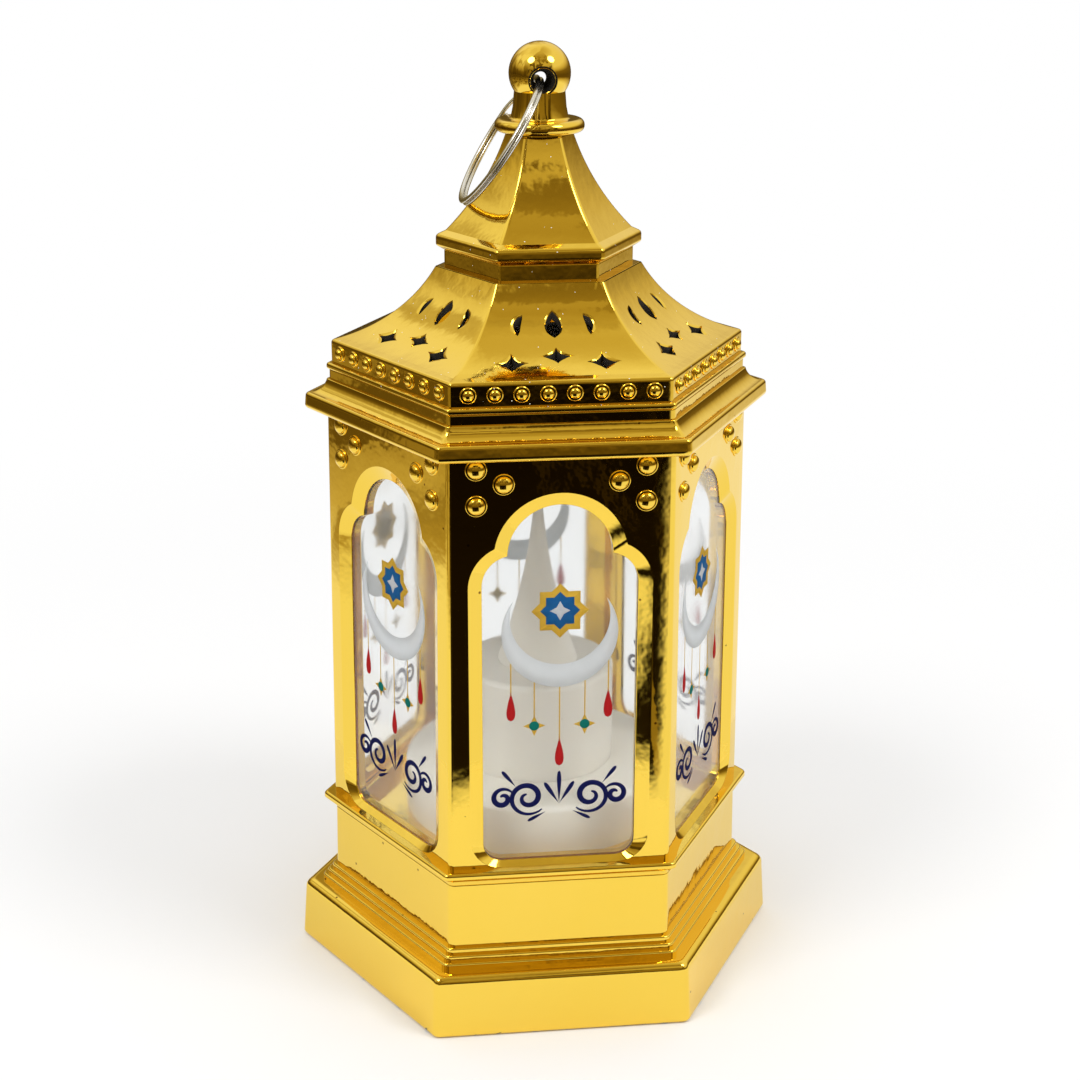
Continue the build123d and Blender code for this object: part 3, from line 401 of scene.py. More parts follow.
outline_count = sill_points + corner_points + jamb_points + shoulder_points + arch_points
bottom_count = 9
top_count = 18
edge_heights = np.linspace(sleeve_foot, sleeve_top, outline_count - bottom_count - top_count + 1)


def face_border(depth, corner):
    """The border of one side of the sleeve at a depth behind its face, with as many points as the arch
    outline, from the bottom middle round by the right."""
    widths = sleeve_width - sleeve_slope * (edge_heights - ledge_top) - depth
    half = (widths - corner) * slope_share
    bottom = np.linspace(0, half[0], bottom_count + 1)[:-1]
    top = np.linspace(half[-1], 0, top_count)
    across = np.concatenate([bottom, half[:-1], top])
    height = np.concatenate([
        np.full(bottom_count, sleeve_foot), edge_heights[:-1], np.full(top_count, sleeve_top),
    ])
    return mirrored(across, height)


def on_face(flat, depth):
    """Places across and heights on the front of the sleeve, at a depth behind its face, as points. The
    face leans in by a steady slope."""
    behind = sleeve_width - sleeve_slope * (flat[..., 1] - ledge_top) - depth
    return np.stack([flat[..., 0], -behind, flat[..., 1]], -1)


def turned(grid, side):
    """A grid of points turned about the lantern's axis by a number of sides."""
    angle = side * 2 * math.pi / sides
    spin = np.array([
        [math.cos(angle), -math.sin(angle), 0],
        [math.sin(angle), math.cos(angle), 0],
        [0, 0, 1],
    ])
    return grid @ spin.T


face_margin = 3.6
splay_width = 2.75
splay_depth = 1.3
slot_reach = 1.3
slot_start = splay_depth + 0.1
slot_end = 2.4
inner_margin = 2.0
reveal = rounded([
    (face_margin, 0, 0),
    (splay_width, 0, 0.3),
    (0, splay_depth, 0.15),
    (0, slot_start, 0),
    (slot_reach, slot_start, 0),
    (slot_reach, slot_end, 0),
    (0, slot_end, 0),
    (0, frame_wall, 0.3),
    (inner_margin, frame_wall, 0),
], steps=4)[1:-1]
slot_row = 1 + int(np.argmax(reveal[:, 1] > (splay_depth + slot_start) / 2))
stations = [on_face(face_border(0, sleeve_corner), 0)]
stations += [on_face(arch_outline(margin), depth) for margin, depth in reveal]
stations += [on_face(face_border(frame_wall, 0), frame_wall)]
window_grid = np.stack(stations)


def corner_strip(widths, heights, radius):
    """The rounded corner between two sides, on the lantern's right: the corner of a hexagon shrunk by the
    corner radius, plus that radius along the way the surface faces."""
    facing = np.linspace(-1, 1, corner_steps + 1) * math.pi / sides
    shape = (len(heights), corner_steps + 1)
    return np.stack([
        (widths[:, None] - radius) / flat_share + radius * np.cos(facing),
        np.broadcast_to(radius * np.sin(facing), shape),
        np.broadcast_to(heights[:, None], shape),
    ], -1)


def turning(section, count):
    """A section of radii and heights carried once round an upright axis."""
    angle = np.linspace(0, 2 * math.pi, count, endpoint=False)
    return np.stack([
        section[:, :1] * np.cos(angle),
        section[:, :1] * np.sin(angle),
        np.broadcast_to(section[:, 1:], (len(section), count)),
    ], -1)


def bead_profile(ring_radius, ring_rise, dome_radius, dome_rise, sink):
    """From the sunk foot of a bead's ring over its rounded rim, across to the dome and up to its top."""
    ring = rounded([
        (ring_radius, -sink, 0),
        (ring_radius, ring_rise, ring_rise * 0.8),
        (dome_radius, ring_rise, 0),
    ], steps=4)
    climb = np.linspace(0, math.pi / 2, 9)[1:]
    dome = np.stack([dome_radius * np.cos(climb), ring_rise + (dome_rise - ring_rise) * np.sin(climb)], -1)
    return np.vstack([[(0, -sink)], ring, dome])


# Gold for the inside of the frame: rougher, and darker in tone as painted shade for the lantern's dim inside.
inner_gold_duller_shaded = make_finish(
    "inner_gold_duller_shaded",
    [(0.82, 0.54, 0.07), (0.66, 0.41, 0.04), (0.3, 0.16, 0.02)],
    roughness=(0.03, 0.1), wave_scale=60, wave_depth=0.25, speck_amount=0.01, metallic=1.0,
)
corner_grid = corner_strip(
    sleeve_width - sleeve_slope * (edge_heights - ledge_top), edge_heights, sleeve_corner,
)
body_bead = turning(
    bead_profile(ring_radius=2.1, ring_rise=0.25, dome_radius=1.65, dome_rise=1.15, sink=0.6), 28,
)
bead_places = [(16.2, sleeve_top - 2.45), (11.0, sleeve_top - 5.4), (16.2, sleeve_top - 9.5)]
body_patches = [(hexagonal(ledge_section, sleeve_corner), True, True)]
body_lining = []
for side in range(sides):
    body_patches.append((turned(window_grid[:slot_row + 1], side), False, True))
    body_lining.append((turned(window_grid[slot_row:], side), False, True))
    body_patches.append((turned(corner_grid, side), False, False))
    for across, height in bead_places:
        for sign in (-1, 1):
            placed = on_face(body_bead[..., :2] + (sign * across, height), -body_bead[..., 2])
            body_patches.append((turned(placed, side), False, True))

# The ends of the sleeve's wall, along each side and round the corner beside it.
top_row = np.arange(outline_count - top_count, outline_count + top_count - 1)[::-1]
bottom_row = np.arange(-bottom_count, bottom_count + 1)
for side in range(sides):
    for row, end in ((top_row, -1), (bottom_row, 0)):
        inner = window_grid[-1][row]
        inner = np.vstack([inner, np.repeat(inner[-1:], corner_steps + 1, 0)])
        outer = np.vstack([window_grid[0][row], turned(corner_grid[end], -1)])
        body_patches.append((turned(np.stack([outer, inner]), side), False, False))

body = make_piece("body", body_patches, gold_plating, lining=body_lining, lining_material=inner_gold_duller_shaded)
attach(body, "lantern")
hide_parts("body_frame")

# Cornice: a moulding on the sleeve, with a rounded rim, a hollow above it and a riser that the roof stands
# on. A skirt plugs into the sleeve. It is plated outside, and inside its plastic is bare, near-black as
# painted shade for its dim inside.
rim_width = 47.6 * flat_share
rim_top_width = 47.3 * flat_share
rim_top = sleeve_top + 3.4
riser_bottom = rim_top + 2.7
riser_top = riser_bottom + 2.0
riser_width = 42.4 * flat_share
skirt_width = sleeve_top_width - frame_wall - 0.15
skirt_wall = 1.6
skirt_drop = 3
riser_inside = riser_width - 2.6
rim_inside_top = sleeve_top + 2
cornice_corner = 1.2


def hollow(start, end, sink, count):
    """Points of an arc between two ends of a section that sinks by a depth towards the axis and the
    floor, as a parabola through its middle, with no fillet."""
    start = np.array(start, float)
    end = np.array(end, float)
    share = np.linspace(0, 1, count + 2)[1:-1, None]
    chord = end - start
    inward = np.array([-chord[1], chord[0]]) / np.linalg.norm(chord)
    if inward.sum() > 0:
        inward = -inward
    points = start + share * chord + 4 * sink * share * (1 - share) * inward
    return np.hstack([points, np.zeros((count, 1))])


tread_end = (rim_top_width - 1.3, rim_top)
cove_top = (riser_width + 0.5, riser_bottom)
cornice_section = rounded([
    (skirt_width - skirt_wall, sleeve_top - skirt_drop, 0),
    (skirt_width, sleeve_top - skirt_drop, 0.3),
    (skirt_width, sleeve_top, 0),
    (rim_width, sleeve_top, 0.9),
    (rim_top_width, rim_top, 0.7),
    (*tread_end, 0),
    *hollow(tread_end, cove_top, 0.5, 6),
    (*cove_top, 0.2),
    (riser_width, riser_bottom, 0),
    (riser_width, riser_top, 0.2),
    (riser_inside, riser_top, 0),
    (riser_inside, rim_inside_top, 0),
    (skirt_width - skirt_wall, rim_inside_top, 0),
])
# Bare plastic where nothing is plated, near-black: the tone is painted shade for insides that lie in shade.
bare_core_painted_shade = make_finish(
    "bare_core_painted_shade", [(0.012, 0.01, 0.008), (0.02, 0.016, 0.012), (0.04, 0.03, 0.02)],
    roughness=(0.5, 0.7), wave_scale=600, wave_depth=0.02, speck_amount=0.03,
)
cornice_grid = hexagonal(cornice_section, cornice_corner)
cornice_inside = np.vstack([cornice_grid[-3:], cornice_grid[:1]])
cornice = make_piece(
    "cornice_moulding", [(cornice_grid[:-2], False, True)], gold_plating,
    lining=[(cornice_inside, False, True)], lining_material=bare_core_painted_shade,
)
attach(cornice, "lantern")
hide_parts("cornice")

# Lower roof: a lip, a band of small beads, six hollow faces pierced with stars and lenses, and the neck
# that carries the spire. One moulding with a thin wall, plated and a little dusty outside and bare inside,
# where its near-black tone is painted shade.
lip_width = 42.9 * flat_share
lip_corner = 0.8
band_radius = 41.8
band_width = band_radius * flat_share
band_bottom = riser_top + 1.3
roof_bottom = band_bottom + 4.6
roof_top = roof_bottom + 14.4
roof_top_width = 20.8 * flat_share
roof_sink = 2.5
roof_wall = 1.8
roof_corner = 0.7
neck_width = 19.0 * flat_share
neck_corner = 0.7
seat_width = roof_top_width - 0.3
seat_top = roof_top + 0.05
neck_top = roof_top + 3.3
cell_steps = 12
hole_shares = np.array([0, 0.3, 0.55, 0.75, 0.88, 0.93, 1])
hole_chamfer = 0.25

neck_section = rounded([
    (neck_width - roof_wall, roof_top - roof_wall, 0),
    (seat_width, roof_top - roof_wall, 0),
    (seat_width, seat_top, 0.05),
    (neck_width, seat_top, 0),
    (neck_width, neck_top, 0.2),
    (neck_width - roof_wall, neck_top, 0),
])

roof_chord = np.array([roof_top_width - band_width, roof_top - roof_bottom])
chord_length = np.linalg.norm(roof_chord)
arc_radius = (chord_length**2 / 4 + roof_sink**2) / (2 * roof_sink)
arc_outward = np.array([roof_chord[1], -roof_chord[0]]) / chord_length
arc_middle = np.array([band_width, roof_bottom]) + roof_chord / 2 + arc_outward * (arc_radius - roof_sink)


def on_roof(plan, lower=0.0):
    """Places across and distances from the axis as points of the front roof face, whose section is an
    arc of a circle, lowered by a drop for its underside."""
    height = arc_middle[1] - np.sqrt(arc_radius**2 - (plan[..., 1] - arc_middle[0]) ** 2)
    return np.stack([plan[..., 0], -plan[..., 1], height - lower], -1)


eave_overlap = 1.5
under_roof = on_roof(np.array([0, band_width - roof_wall]))[2]
lip_section = rounded([
    (band_width - roof_wall, riser_top, 0),
    (lip_width, riser_top, 0.45),
    (lip_width, band_bottom, 0.5),
    (band_width, band_bottom, 0),
    (band_width, roof_bottom, 0.7),
    (band_width - roof_wall, under_roof, 0),
])


def bent(start, middle, end, count):
    """Points from start up to, but without, the end, on the parabola that passes through the middle."""
    share = np.linspace(0, 1, count, endpoint=False)[:, None]
    start, middle, end = (np.array(place, float) for place in (start, middle, end))
    return start + share * (end - start) + 4 * share * (1 - share) * (middle - (start + end) / 2)


star_waist_share = 0.33


def star_outline(width, length):
    """A four-pointed star with hollow sides, from between its near and left points round by the near one."""
    tips = [(0, length / 2), (width / 2, 0), (0, -length / 2), (-width / 2, 0)]
    waist = star_waist_share / 2
    waists = [(x * waist * width, y * waist * length) for x, y in ((1, 1), (1, -1), (-1, -1), (-1, 1))]
    arcs = [bent(tips[i], waists[i], tips[(i + 1) % 4], cell_steps) for i in range(4)]
    return np.roll(np.vstack(arcs), cell_steps // 2, 0)


def lens_outline(length, right_bulge, left_bulge, lean):
    """A pointed lens whose two sides bulge by their own amounts, leaning by an angle in degrees, from the
    left round by the near point."""
    near, far = (0, length / 2), (0, -length / 2)
    outline = np.vstack([
        bent(near, (right_bulge, 0), far, 2 * cell_steps),
        bent(far, (left_bulge, 0), near, 2 * cell_steps),
    ])
    angle = math.radians(lean)
    spin = np.array([[math.cos(angle), -math.sin(angle)], [math.sin(angle), math.cos(angle)]])
    return np.roll(outline @ spin.T, cell_steps // 2, 0)


def cell_border(low, high, near, far):
    """The border of one cell of a roof face, between two shares of its width and two distances from the
    axis, from its low near corner round by the near edge."""
    steps = np.linspace(0, 1, cell_steps, endpoint=False)
    share = np.concatenate([
        low + (high - low) * steps,
        np.full(cell_steps, high),
        high + (low - high) * steps,
        np.full(cell_steps, low),
    ])
    away = np.concatenate([
        np.full(cell_steps, near),
        near + (far - near) * steps,
        np.full(cell_steps, far),
        far + (near - far) * steps,
    ])
    return np.stack([share * (away - roof_corner) * slope_share, away], -1)


def pierced_cell(border, outline):
    """The two sides of a cell of the roof round one cut-out. The upper side runs from the border to the
    outline, where it dips. The other one is the cut-out's straight wall and the underside."""
    steps = [border * (1 - share) + outline * share for share in hole_shares]
    upper = [on_roof(step) for step in steps]
    rim = on_roof(steps[-1], hole_chamfer)
    lower = [on_roof(step, roof_wall) for step in steps[::-1]]
    return np.stack(upper[:-1] + [rim]), np.stack([rim] + lower)


row_edges = [band_width - 2.6, 26.3, 20.5]
column_edges = [-1, -0.3, 0.3, 1]
lens_away = roof_top_width + 5.05
star_away = band_width - 7.35
side_star_away = band_width - 5.65
side_lens_across = 6.2
side_star_across = 8.6
lens_row = [
    (-side_lens_across, lens_away, lens_outline(3.4, -0.18, -1.5, 20)),
    (0, lens_away, lens_outline(4.2, 1.55, -1.55, 0)),
    (side_lens_across, lens_away, lens_outline(3.4, 1.5, 0.18, -20)),
]
star_row = [
    (-side_star_across, side_star_away, star_outline(6.3, 4.6)),
    (0, star_away, star_outline(6.3, 3.4)),
    (side_star_across, side_star_away, star_outline(6.3, 4.6)),
]
roof_face = []
roof_lining = []
for row, near, far in ((star_row, row_edges[0], row_edges[1]), (lens_row, row_edges[1], row_edges[2])):
    for column, (across, away, outline) in enumerate(row):
        border = cell_border(column_edges[column], column_edges[column + 1], near, far)
        upper, lower = pierced_cell(border, outline + (across, away))
        roof_face.append((upper, False, True))
        roof_lining.append((lower, False, True))
strip_shares = np.concatenate([
    np.linspace(low, high, cell_steps, endpoint=False) for low, high in zip(column_edges, column_edges[1:])
] + [[1]])
strip_rows = [
    np.linspace(band_width - eave_overlap, row_edges[0], 5),
    np.linspace(row_edges[2], roof_top_width, 5),
]
for rows in strip_rows:
    plan = np.stack([
        strip_shares * (rows[:, None] - roof_corner) * slope_share,
        np.broadcast_to(rows[:, None], (len(rows), len(strip_shares))),
    ], -1)
    roof_face.append((on_roof(plan), False, False))
    roof_lining.append((on_roof(plan, roof_wall)[::-1], False, False))
ridge_rows = np.unique(np.concatenate([
    strip_rows[0],
    np.linspace(row_edges[0], row_edges[1], cell_steps + 1),
    np.linspace(row_edges[1], row_edges[2], cell_steps + 1),
    strip_rows[1],
]).round(6))[::-1]
ridge_heights = on_roof(np.stack([np.zeros(len(ridge_rows)), ridge_rows], -1))[:, 2]
ridge_grid = turned(corner_strip(ridge_rows, ridge_heights, roof_corner), -1)
roof_face.append((ridge_grid, False, False))
roof_lining.append(((ridge_grid - (0, 0, roof_wall))[::-1], False, False))
for row in (0, -1):
    edge = strip_rows[0][0] if row == 0 else strip_rows[1][-1]
    flat = np.stack([strip_shares * (edge - roof_corner) * slope_share, np.full(len(strip_shares), edge)], -1)
    upper = np.vstack([on_roof(flat), ridge_grid[row][1:]])
    roof_face.append((np.stack([upper, upper - (0, 0, roof_wall)]), False, False))

band_bead = turning(
    bead_profile(ring_radius=1.6, ring_rise=0.3, dome_radius=1.05, dome_rise=0.95, sink=0.5), 20,
)
band_beads = 8
bead_from_corner = 3.425
bead_pitch = (band_radius - 2 * bead_from_corner) / (band_beads - 1)
roof_patches = [
    (hexagonal(lip_section, lip_corner), True, True),
    (hexagonal(neck_section, neck_corner), True, True),
]
lining_patches = []
for side in range(sides):
    roof_patches += [(turned(grid, side), rows, columns) for grid, rows, columns in roof_face]
    lining_patches += [(turned(grid, side), rows, columns) for grid, rows, columns in roof_lining]
    for bead in range(band_beads):
        across = (bead - (band_beads - 1) / 2) * bead_pitch
        placed = np.stack([
            band_bead[..., 0] + across,
            -band_width - band_bead[..., 2],
            band_bead[..., 1] + (band_bottom + roof_bottom) / 2,
        ], -1)
        roof_patches.append((turned(placed, side), False, True))
dusty_plating = make_finish(
    "dusty_plating",
    [*gold_tones[:2], (0.9, 0.86, 0.74)],
    roughness=(0.02, 0.07), wave_scale=52, wave_depth=0.26, speck_amount=0.03, metallic=1.0, dusty=True,
)
roof = make_piece("roof", roof_patches, dusty_plating, lining=lining_patches, lining_material=bare_core_painted_shade)
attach(roof, "lantern")
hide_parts("roof_shell")

# Upper roof: an eave on the neck and a hollow-sided spire, plated, with a hole in its top that takes the
# finial's stem.
eave_width = 20.7 * flat_share
eave_bottom = neck_top + 1.0
eave_top = eave_bottom + 2.0
spire_bottom = eave_top + 0.9
spire_top = spire_bottom + 18.8
spire_foot = (18.7 * flat_share, spire_bottom)
spire_head = (6.8 * flat_share, spire_top)
spire_corner = 1.0
plug_width = neck_width - roof_wall - 0.15
plug_inside = neck_width - roof_wall - 1.75
plug_drop = 3
socket_radius = 3.15
socket_bottom = spire_top - 3
spire_sink = 1.15
inside_foot = (spire_foot[0] - roof_wall, spire_bottom)
inside_head = (spire_head[0] - roof_wall, socket_bottom)
spire_section = rounded([
    (plug_width, neck_top - plug_drop, 0.2),
    (plug_width, neck_top, 0),
    (neck_width, neck_top, 0),
    (eave_width, eave_bottom, 0.7),
    (eave_width, eave_top, 0.9),
    (*spire_foot, 0.3),
    *hollow(spire_foot, spire_head, spire_sink, 22),
    (*spire_head, 0.15),
    (socket_radius, spire_top, 0),
    (socket_radius, socket_bottom, 0),
    (*inside_head, 0),
    *hollow(inside_head, inside_foot, spire_sink, 8),
    (*inside_foot, 0),
    (inside_foot[0], neck_top + roof_wall, 0),
    (plug_inside, neck_top + roof_wall, 0),
    (plug_inside, neck_top - plug_drop, 0.2),
])
spire = make_piece("spire", [(hexagonal(spire_section, spire_corner), True, True)], dusty_plating)
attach(spire, "lantern")
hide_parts("upper_roof")

# Finial: a plated stem, collar and post with a ball, drilled a little below its middle from front to back.
# The hole narrows to its middle and is bare, near-black as painted shade, with a thin plated edge inside its
# rim.
collar_bottom = spire_top + 0.3
collar_top = collar_bottom + 2.5
ball_level = collar_top + 8.6
ball_radius = 6.05
hole_drop = 1.0
hole_level = ball_level - hole_drop
hole_rim = 2.85
post_radius = 5.0
post_top = ball_level - math.sqrt(ball_radius**2 - post_radius**2)
stem_radius = 3.0
stem_bottom = spire_top - 6
pole_size = 0.001
collar_seat = 7.0
collar_radius = 8.8
around_count = 72
groove_depth = 0.45
groove_reach = [2.75, 2.6]
bore_inset = 0.3
bore_throat = 1.3
bore_flare = 1.15
edge_reach = 2.5
edge_wire = 0.08
hole_angle = np.linspace(0, 2 * math.pi, around_count, endpoint=False)
all_round = np.zeros(around_count)

stem_section = rounded([
    (pole_size, stem_bottom, 0),
    (stem_radius, stem_bottom, 0.4),
    (stem_radius, spire_top, 0),
    (collar_seat, spire_top, 0),
    (collar_seat, collar_bottom, 0),
    (collar_radius, collar_bottom, 1.1),
    (collar_radius, collar_top, 1.2),
    (5.7, collar_top, 0.5),
    (5.25, collar_top + 2.2, 0),
    (post_radius, post_top, 0),
    (pole_size, post_top, 0),
])


def round_hole(reach, away):
    """Distances from the hole's axis, and places along it, for each angle round the axis, as points."""
    return np.stack([reach * np.cos(hole_angle), away, hole_level + reach * np.sin(hole_angle)], -1)


# Every half plane through the hole's axis cuts the ball in an arc of a circle whose middle lies nearer to
# or further from the axis, by the sine of its angle, and whose radius is smaller by the same rule.
arc_rise = hole_drop * np.sin(hole_angle)
arc_size = np.sqrt(ball_radius**2 - (hole_drop * np.cos(hole_angle)) ** 2)
arc_start = np.arcsin((hole_rim - arc_rise) / arc_size)
arc_turn = arc_start + (math.pi - 2 * arc_start) * np.linspace(0, 1, 44)[:, None]
ball_rows = round_hole(arc_rise + arc_size * np.sin(arc_turn), -arc_size * np.cos(arc_turn))
rim_away = -arc_size * np.cos(arc_start)
groove_rows = [round_hole(all_round + reach, rim_away + groove_depth) for reach in groove_reach]
bore_share = np.linspace(1, -1, 15)[:, None]
bore_end = rim_away + bore_inset
bore_rows = round_hole(bore_throat + bore_flare * bore_share**2 + all_round, bore_end * bore_share)
front_groove = np.stack([ball_rows[0], *groove_rows])
back_groove = np.stack([ball_rows[-1], *(row * (1, -1, 1) for row in groove_rows)])
dark_rows = np.vstack([front_groove, bore_rows, back_groove[::-1]])
wire_angle = np.linspace(0, 2 * math.pi, 10, endpoint=False)[:, None]
edge_rows = round_hole(
    edge_reach + edge_wire * np.cos(wire_angle) + all_round, bore_end + edge_wire * np.sin(wire_angle),
)
finial = make_piece(
    "ball_finial",
    [(turning(stem_section, around_count), True, True), (ball_rows, False, True), (edge_rows, True, True),
     (edge_rows * (1, -1, 1), True, True)],
    gold_plating, lining=[(dark_rows, False, True)], lining_material=bare_core_painted_shade,
)
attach(finial, "lantern")
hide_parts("finial")

# Hanging ring: a split ring, two turns of flattened nickel-plated wire side by side that step across where
# their ends lie. It passes through the ball and leans on the spire's ridge to the left.
ring_lean = math.radians(32.66)
ring_radius = 13.75
ring_drop = 0.307
wire_half = 0.65
turn_half = 0.42
ring_down = np.array([-math.sin(ring_lean), 0, -math.cos(ring_lean)])
ring_across = np.array([0, 1, 0])
ring_axle = np.cross(ring_down, ring_across)
ring_middle = np.array([0, 0, hole_level]) + ring_down * (ring_drop + ring_radius)
step_place = math.radians(126)
end_gap = 0.3
path_turn = np.linspace(step_place + end_gap, step_place + 4 * math.pi - end_gap, 420)
step = np.clip((path_turn - step_place - 2 * math.pi) / end_gap, -1, 1)
aside = turn_half * np.sin(step * math.pi / 2)
out = np.cos(path_turn)[:, None] * ring_down + np.sin(path_turn)[:, None] * ring_across
wire_turn = np.linspace(0, 2 * math.pi, 24, endpoint=False)
end_shares = [pole_size, 0.7, 0.95]
full_shares = np.ones(len(path_turn) - 2 * len(end_shares))
round_shares = np.concatenate([end_shares, full_shares, end_shares[::-1]])[:, None]
wire_out = wire_half * np.cos(wire_turn)[:, None, None] * out
wire_aside = turn_half * np.sin(wire_turn)[:, None, None] * ring_axle
wire = wire_out + wire_aside
ring_grid = ring_middle + ring_radius * out + aside[:, None] * ring_axle + round_shares * wire
ring_steel = make_finish(
    "ring_steel",
    [(0.86, 0.85, 0.83), (0.78, 0.77, 0.75), (0.3, 0.29, 0.28)],
    roughness=(0.15, 0.24), wave_scale=40, wave_depth=0.005, speck_amount=0.0, metallic=1.0,
)
ring = make_piece("wire_ring", [(ring_grid.transpose(1, 0, 2), False, True)], ring_steel, sharp_angle=60)
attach(ring, "hanging_ring")
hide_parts("hanging_ring")

# Candle: a milky, softly satin plastic drum on the deck, a hollow candle on it and a flame-shaped cap with
# drawn-in flanks, all three over one small lamp. Their ivory tones are warmed a little as painted light,
# for the glow that the gold walls cast inside.
drum_top = deck_top + 11
candle_top = drum_top + 21.5
flame_top = candle_top + 36
drum_radius = 28.0
drum_inside = 26.4
drum_wall = 1.6
candle_radius = 16.0
candle_inside = 14.5
candle_wall = 1.5
candle_opening = 5.0
flame_inside = 6.0
flame_cavity = 15
# Ivory tones of the plastic, warmed a little: the warmth is painted light from the gold walls round it.
milky_plastic = make_finish(
    "milky_plastic",
    [(0.94, 0.895, 0.8), (0.9, 0.85, 0.74), (0.8, 0.74, 0.64)],
    roughness=(0.38, 0.55), wave_scale=70, wave_depth=0.05, speck_amount=0.01,
)
set_inputs(milky_plastic.node_tree.nodes["Principled BSDF"], {
    "Subsurface Weight": 0.4,
    "Subsurface Radius": (1, 1, 1),
    "Subsurface Scale": 3 * mm,
    "Coat Weight": 0.1,
})
drum_section = rounded([
    (drum_inside, deck_top, 0),
    (drum_radius, deck_top, 0),
    (drum_radius, drum_top, 1.2),
    (lead_hole, drum_top, 0),
    (lead_hole, drum_top - drum_wall, 0),
    (drum_inside, drum_top - drum_wall, 0),
])
drum = make_piece("candle_drum", [(turning(drum_section, 120), True, True)], milky_plastic)
candle_section = rounded([
    (candle_inside, drum_top, 0),
    (candle_radius, drum_top, 0),
    (candle_radius, candle_top, 1.2),
    (candle_opening, candle_top, 0.4),
    (candle_opening, candle_top - candle_wall, 0),
    (candle_inside, candle_top - candle_wall, 0),
])
candle = make_piece("candle", [(turning(candle_section, 96), True, True)], milky_plastic)
flank_foot = (8.6, candle_top)
flank_head = (0.9, flame_top - 0.9)
flame_section = rounded([
    (flame_inside, candle_top, 0),
    (*flank_foot, 0.4),
    *hollow(flank_foot, flank_head, 1.2, 20),
    (*flank_head, 0),
    (0.6, flame_top - 0.25, 0),
    (pole_size, flame_top, 0),
    (pole_size, candle_top + flame_cavity, 0),
])
flame = make_piece("flame", [(turning(flame_section, 72), True, True)], milky_plastic)
for piece, node in ((drum, "candle_base"), (candle, "candle_body"), (flame, "candle_flame")):
    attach(piece, "lantern")
    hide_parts(node)

# Window panes: clear plastic sheets in the slots behind the arches. They let lamps shine through, mirror a
# little and carry a faint haze.
clear_sheet, sheet_tree, sheet_shader = new_material("clear_sheet")
haze = place_group(sheet_tree, waves, Scale=90, Fine=0.5)
set_inputs(sheet_shader, {
    "Base Color": (0.97, 0.98, 0.98, 1),
    "Transmission Weight": 0.96,
    "IOR": 1.3,
    "Roughness": spread(sheet_tree, haze, 0.45, 0.9, 0.02, 0.1),
})
rays = add_node(sheet_tree, "LightPath", {}).outputs
pass_light = add_node(sheet_tree, "BsdfTransparent", {"Color": (0.96, 0.97, 0.97, 1)})
sheet_mix = add_node(sheet_tree, "MixShader", {
    0: rays["Is Shadow Ray"], 1: sheet_shader.outputs[0], 2: pass_light.outputs[0],
})
set_inputs(sheet_tree.nodes["Material Output"], {"Surface": sheet_mix.outputs[0]})


def dress(nodes, material):
    """Gives CAD nodes that keep their own shape a finished material."""
    for node in nodes:
        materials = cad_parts[node].data.materials
        materials.clear()
        materials.append(material)


dress([f"window_pane_{side + 1}" for side in range(sides)], clear_sheet)

# Print on the panes: thin layers of ink on the outside of each sheet. A crescent that opens upwards holds an
# eight-pointed star, stars and drops hang from it on strings, and a scroll runs along the foot.
sheet_depth = splay_depth + 0.15
ink_thickness = 0.03


def lay_ink(name, shapes, colours, layer=0):
    """One colour of ink, which lets some light through, on all six panes. Each shape is a grid of places
    across and heights, with a word on whether its columns close, and a higher layer lies on those below."""
    material = make_finish(
        name, [*colours, colours[1]], roughness=(0.3, 0.5), wave_scale=500, wave_depth=0.01,
    )
    set_inputs(material.node_tree.nodes["Principled BSDF"], {"Transmission Weight": 0.45, "IOR": 1.05})
    depth = sheet_depth - ink_thickness * (layer + 1) / 2
    patches = []
    for side in range(sides):
        for flat, columns_close in shapes:
            patches.append((turned(on_face(flat, depth), side), False, columns_close))
    piece = make_piece(name, patches, material)
    wall = piece.modifiers.new("wall", "SOLIDIFY")
    wall.thickness = ink_thickness * mm
    wall.offset = 0
    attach(piece, "lantern")


def ribbon(path, half_widths):
    """A band along a path of places across and heights: the path moved to both sides by half its width."""
    along = np.gradient(path, axis=0)
    along /= np.linalg.norm(along, axis=1)[:, None]
    beside = np.stack([-along[:, 1], along[:, 0]], -1) * half_widths[:, None]
    return np.stack([path - beside, path, path + beside]), False


def disc(middle, outline):
    """A filled outline: rings from its middle out to its edge."""
    shares = np.array([pole_size, 0.5, 1])[:, None, None]
    return np.array(middle) + shares * outline, True


def drop(foot, length, width, lean=0.0):
    """A drop with its point at its foot, leaning by an angle in degrees: its half width is a power of the
    share of the way from the point, times the root of the share that is left, which rounds its end."""
    share = np.linspace(0, 1, 25)
    half = width * 1.3 * share**1.4 * np.sqrt(1 - share)
    angle = math.radians(lean)
    along = np.array([math.sin(angle), math.cos(angle)])
    beside = np.array([math.cos(angle), -math.sin(angle)])
    spine = np.array(foot) + share[:, None] * length * along
    return np.stack([spine - half[:, None] * beside, spine, spine + half[:, None] * beside]), False


def star_points(radius, inner_share, count):
    """A star with straight sides: its corners lie at two radii by turns, and points run evenly along the
    lines between them."""
    corner = np.arange(2 * count + 1)
    angle = np.pi * corner / count
    size = radius * np.where(corner % 2 == 0, 1, inner_share)
    corners = np.stack([size * np.sin(angle), size * np.cos(angle)], -1)
    steps = np.linspace(0, 2 * count, 16 * count, endpoint=False)
    return np.stack([np.interp(steps, corner, corners[:, 0]), np.interp(steps, corner, corners[:, 1])], -1)


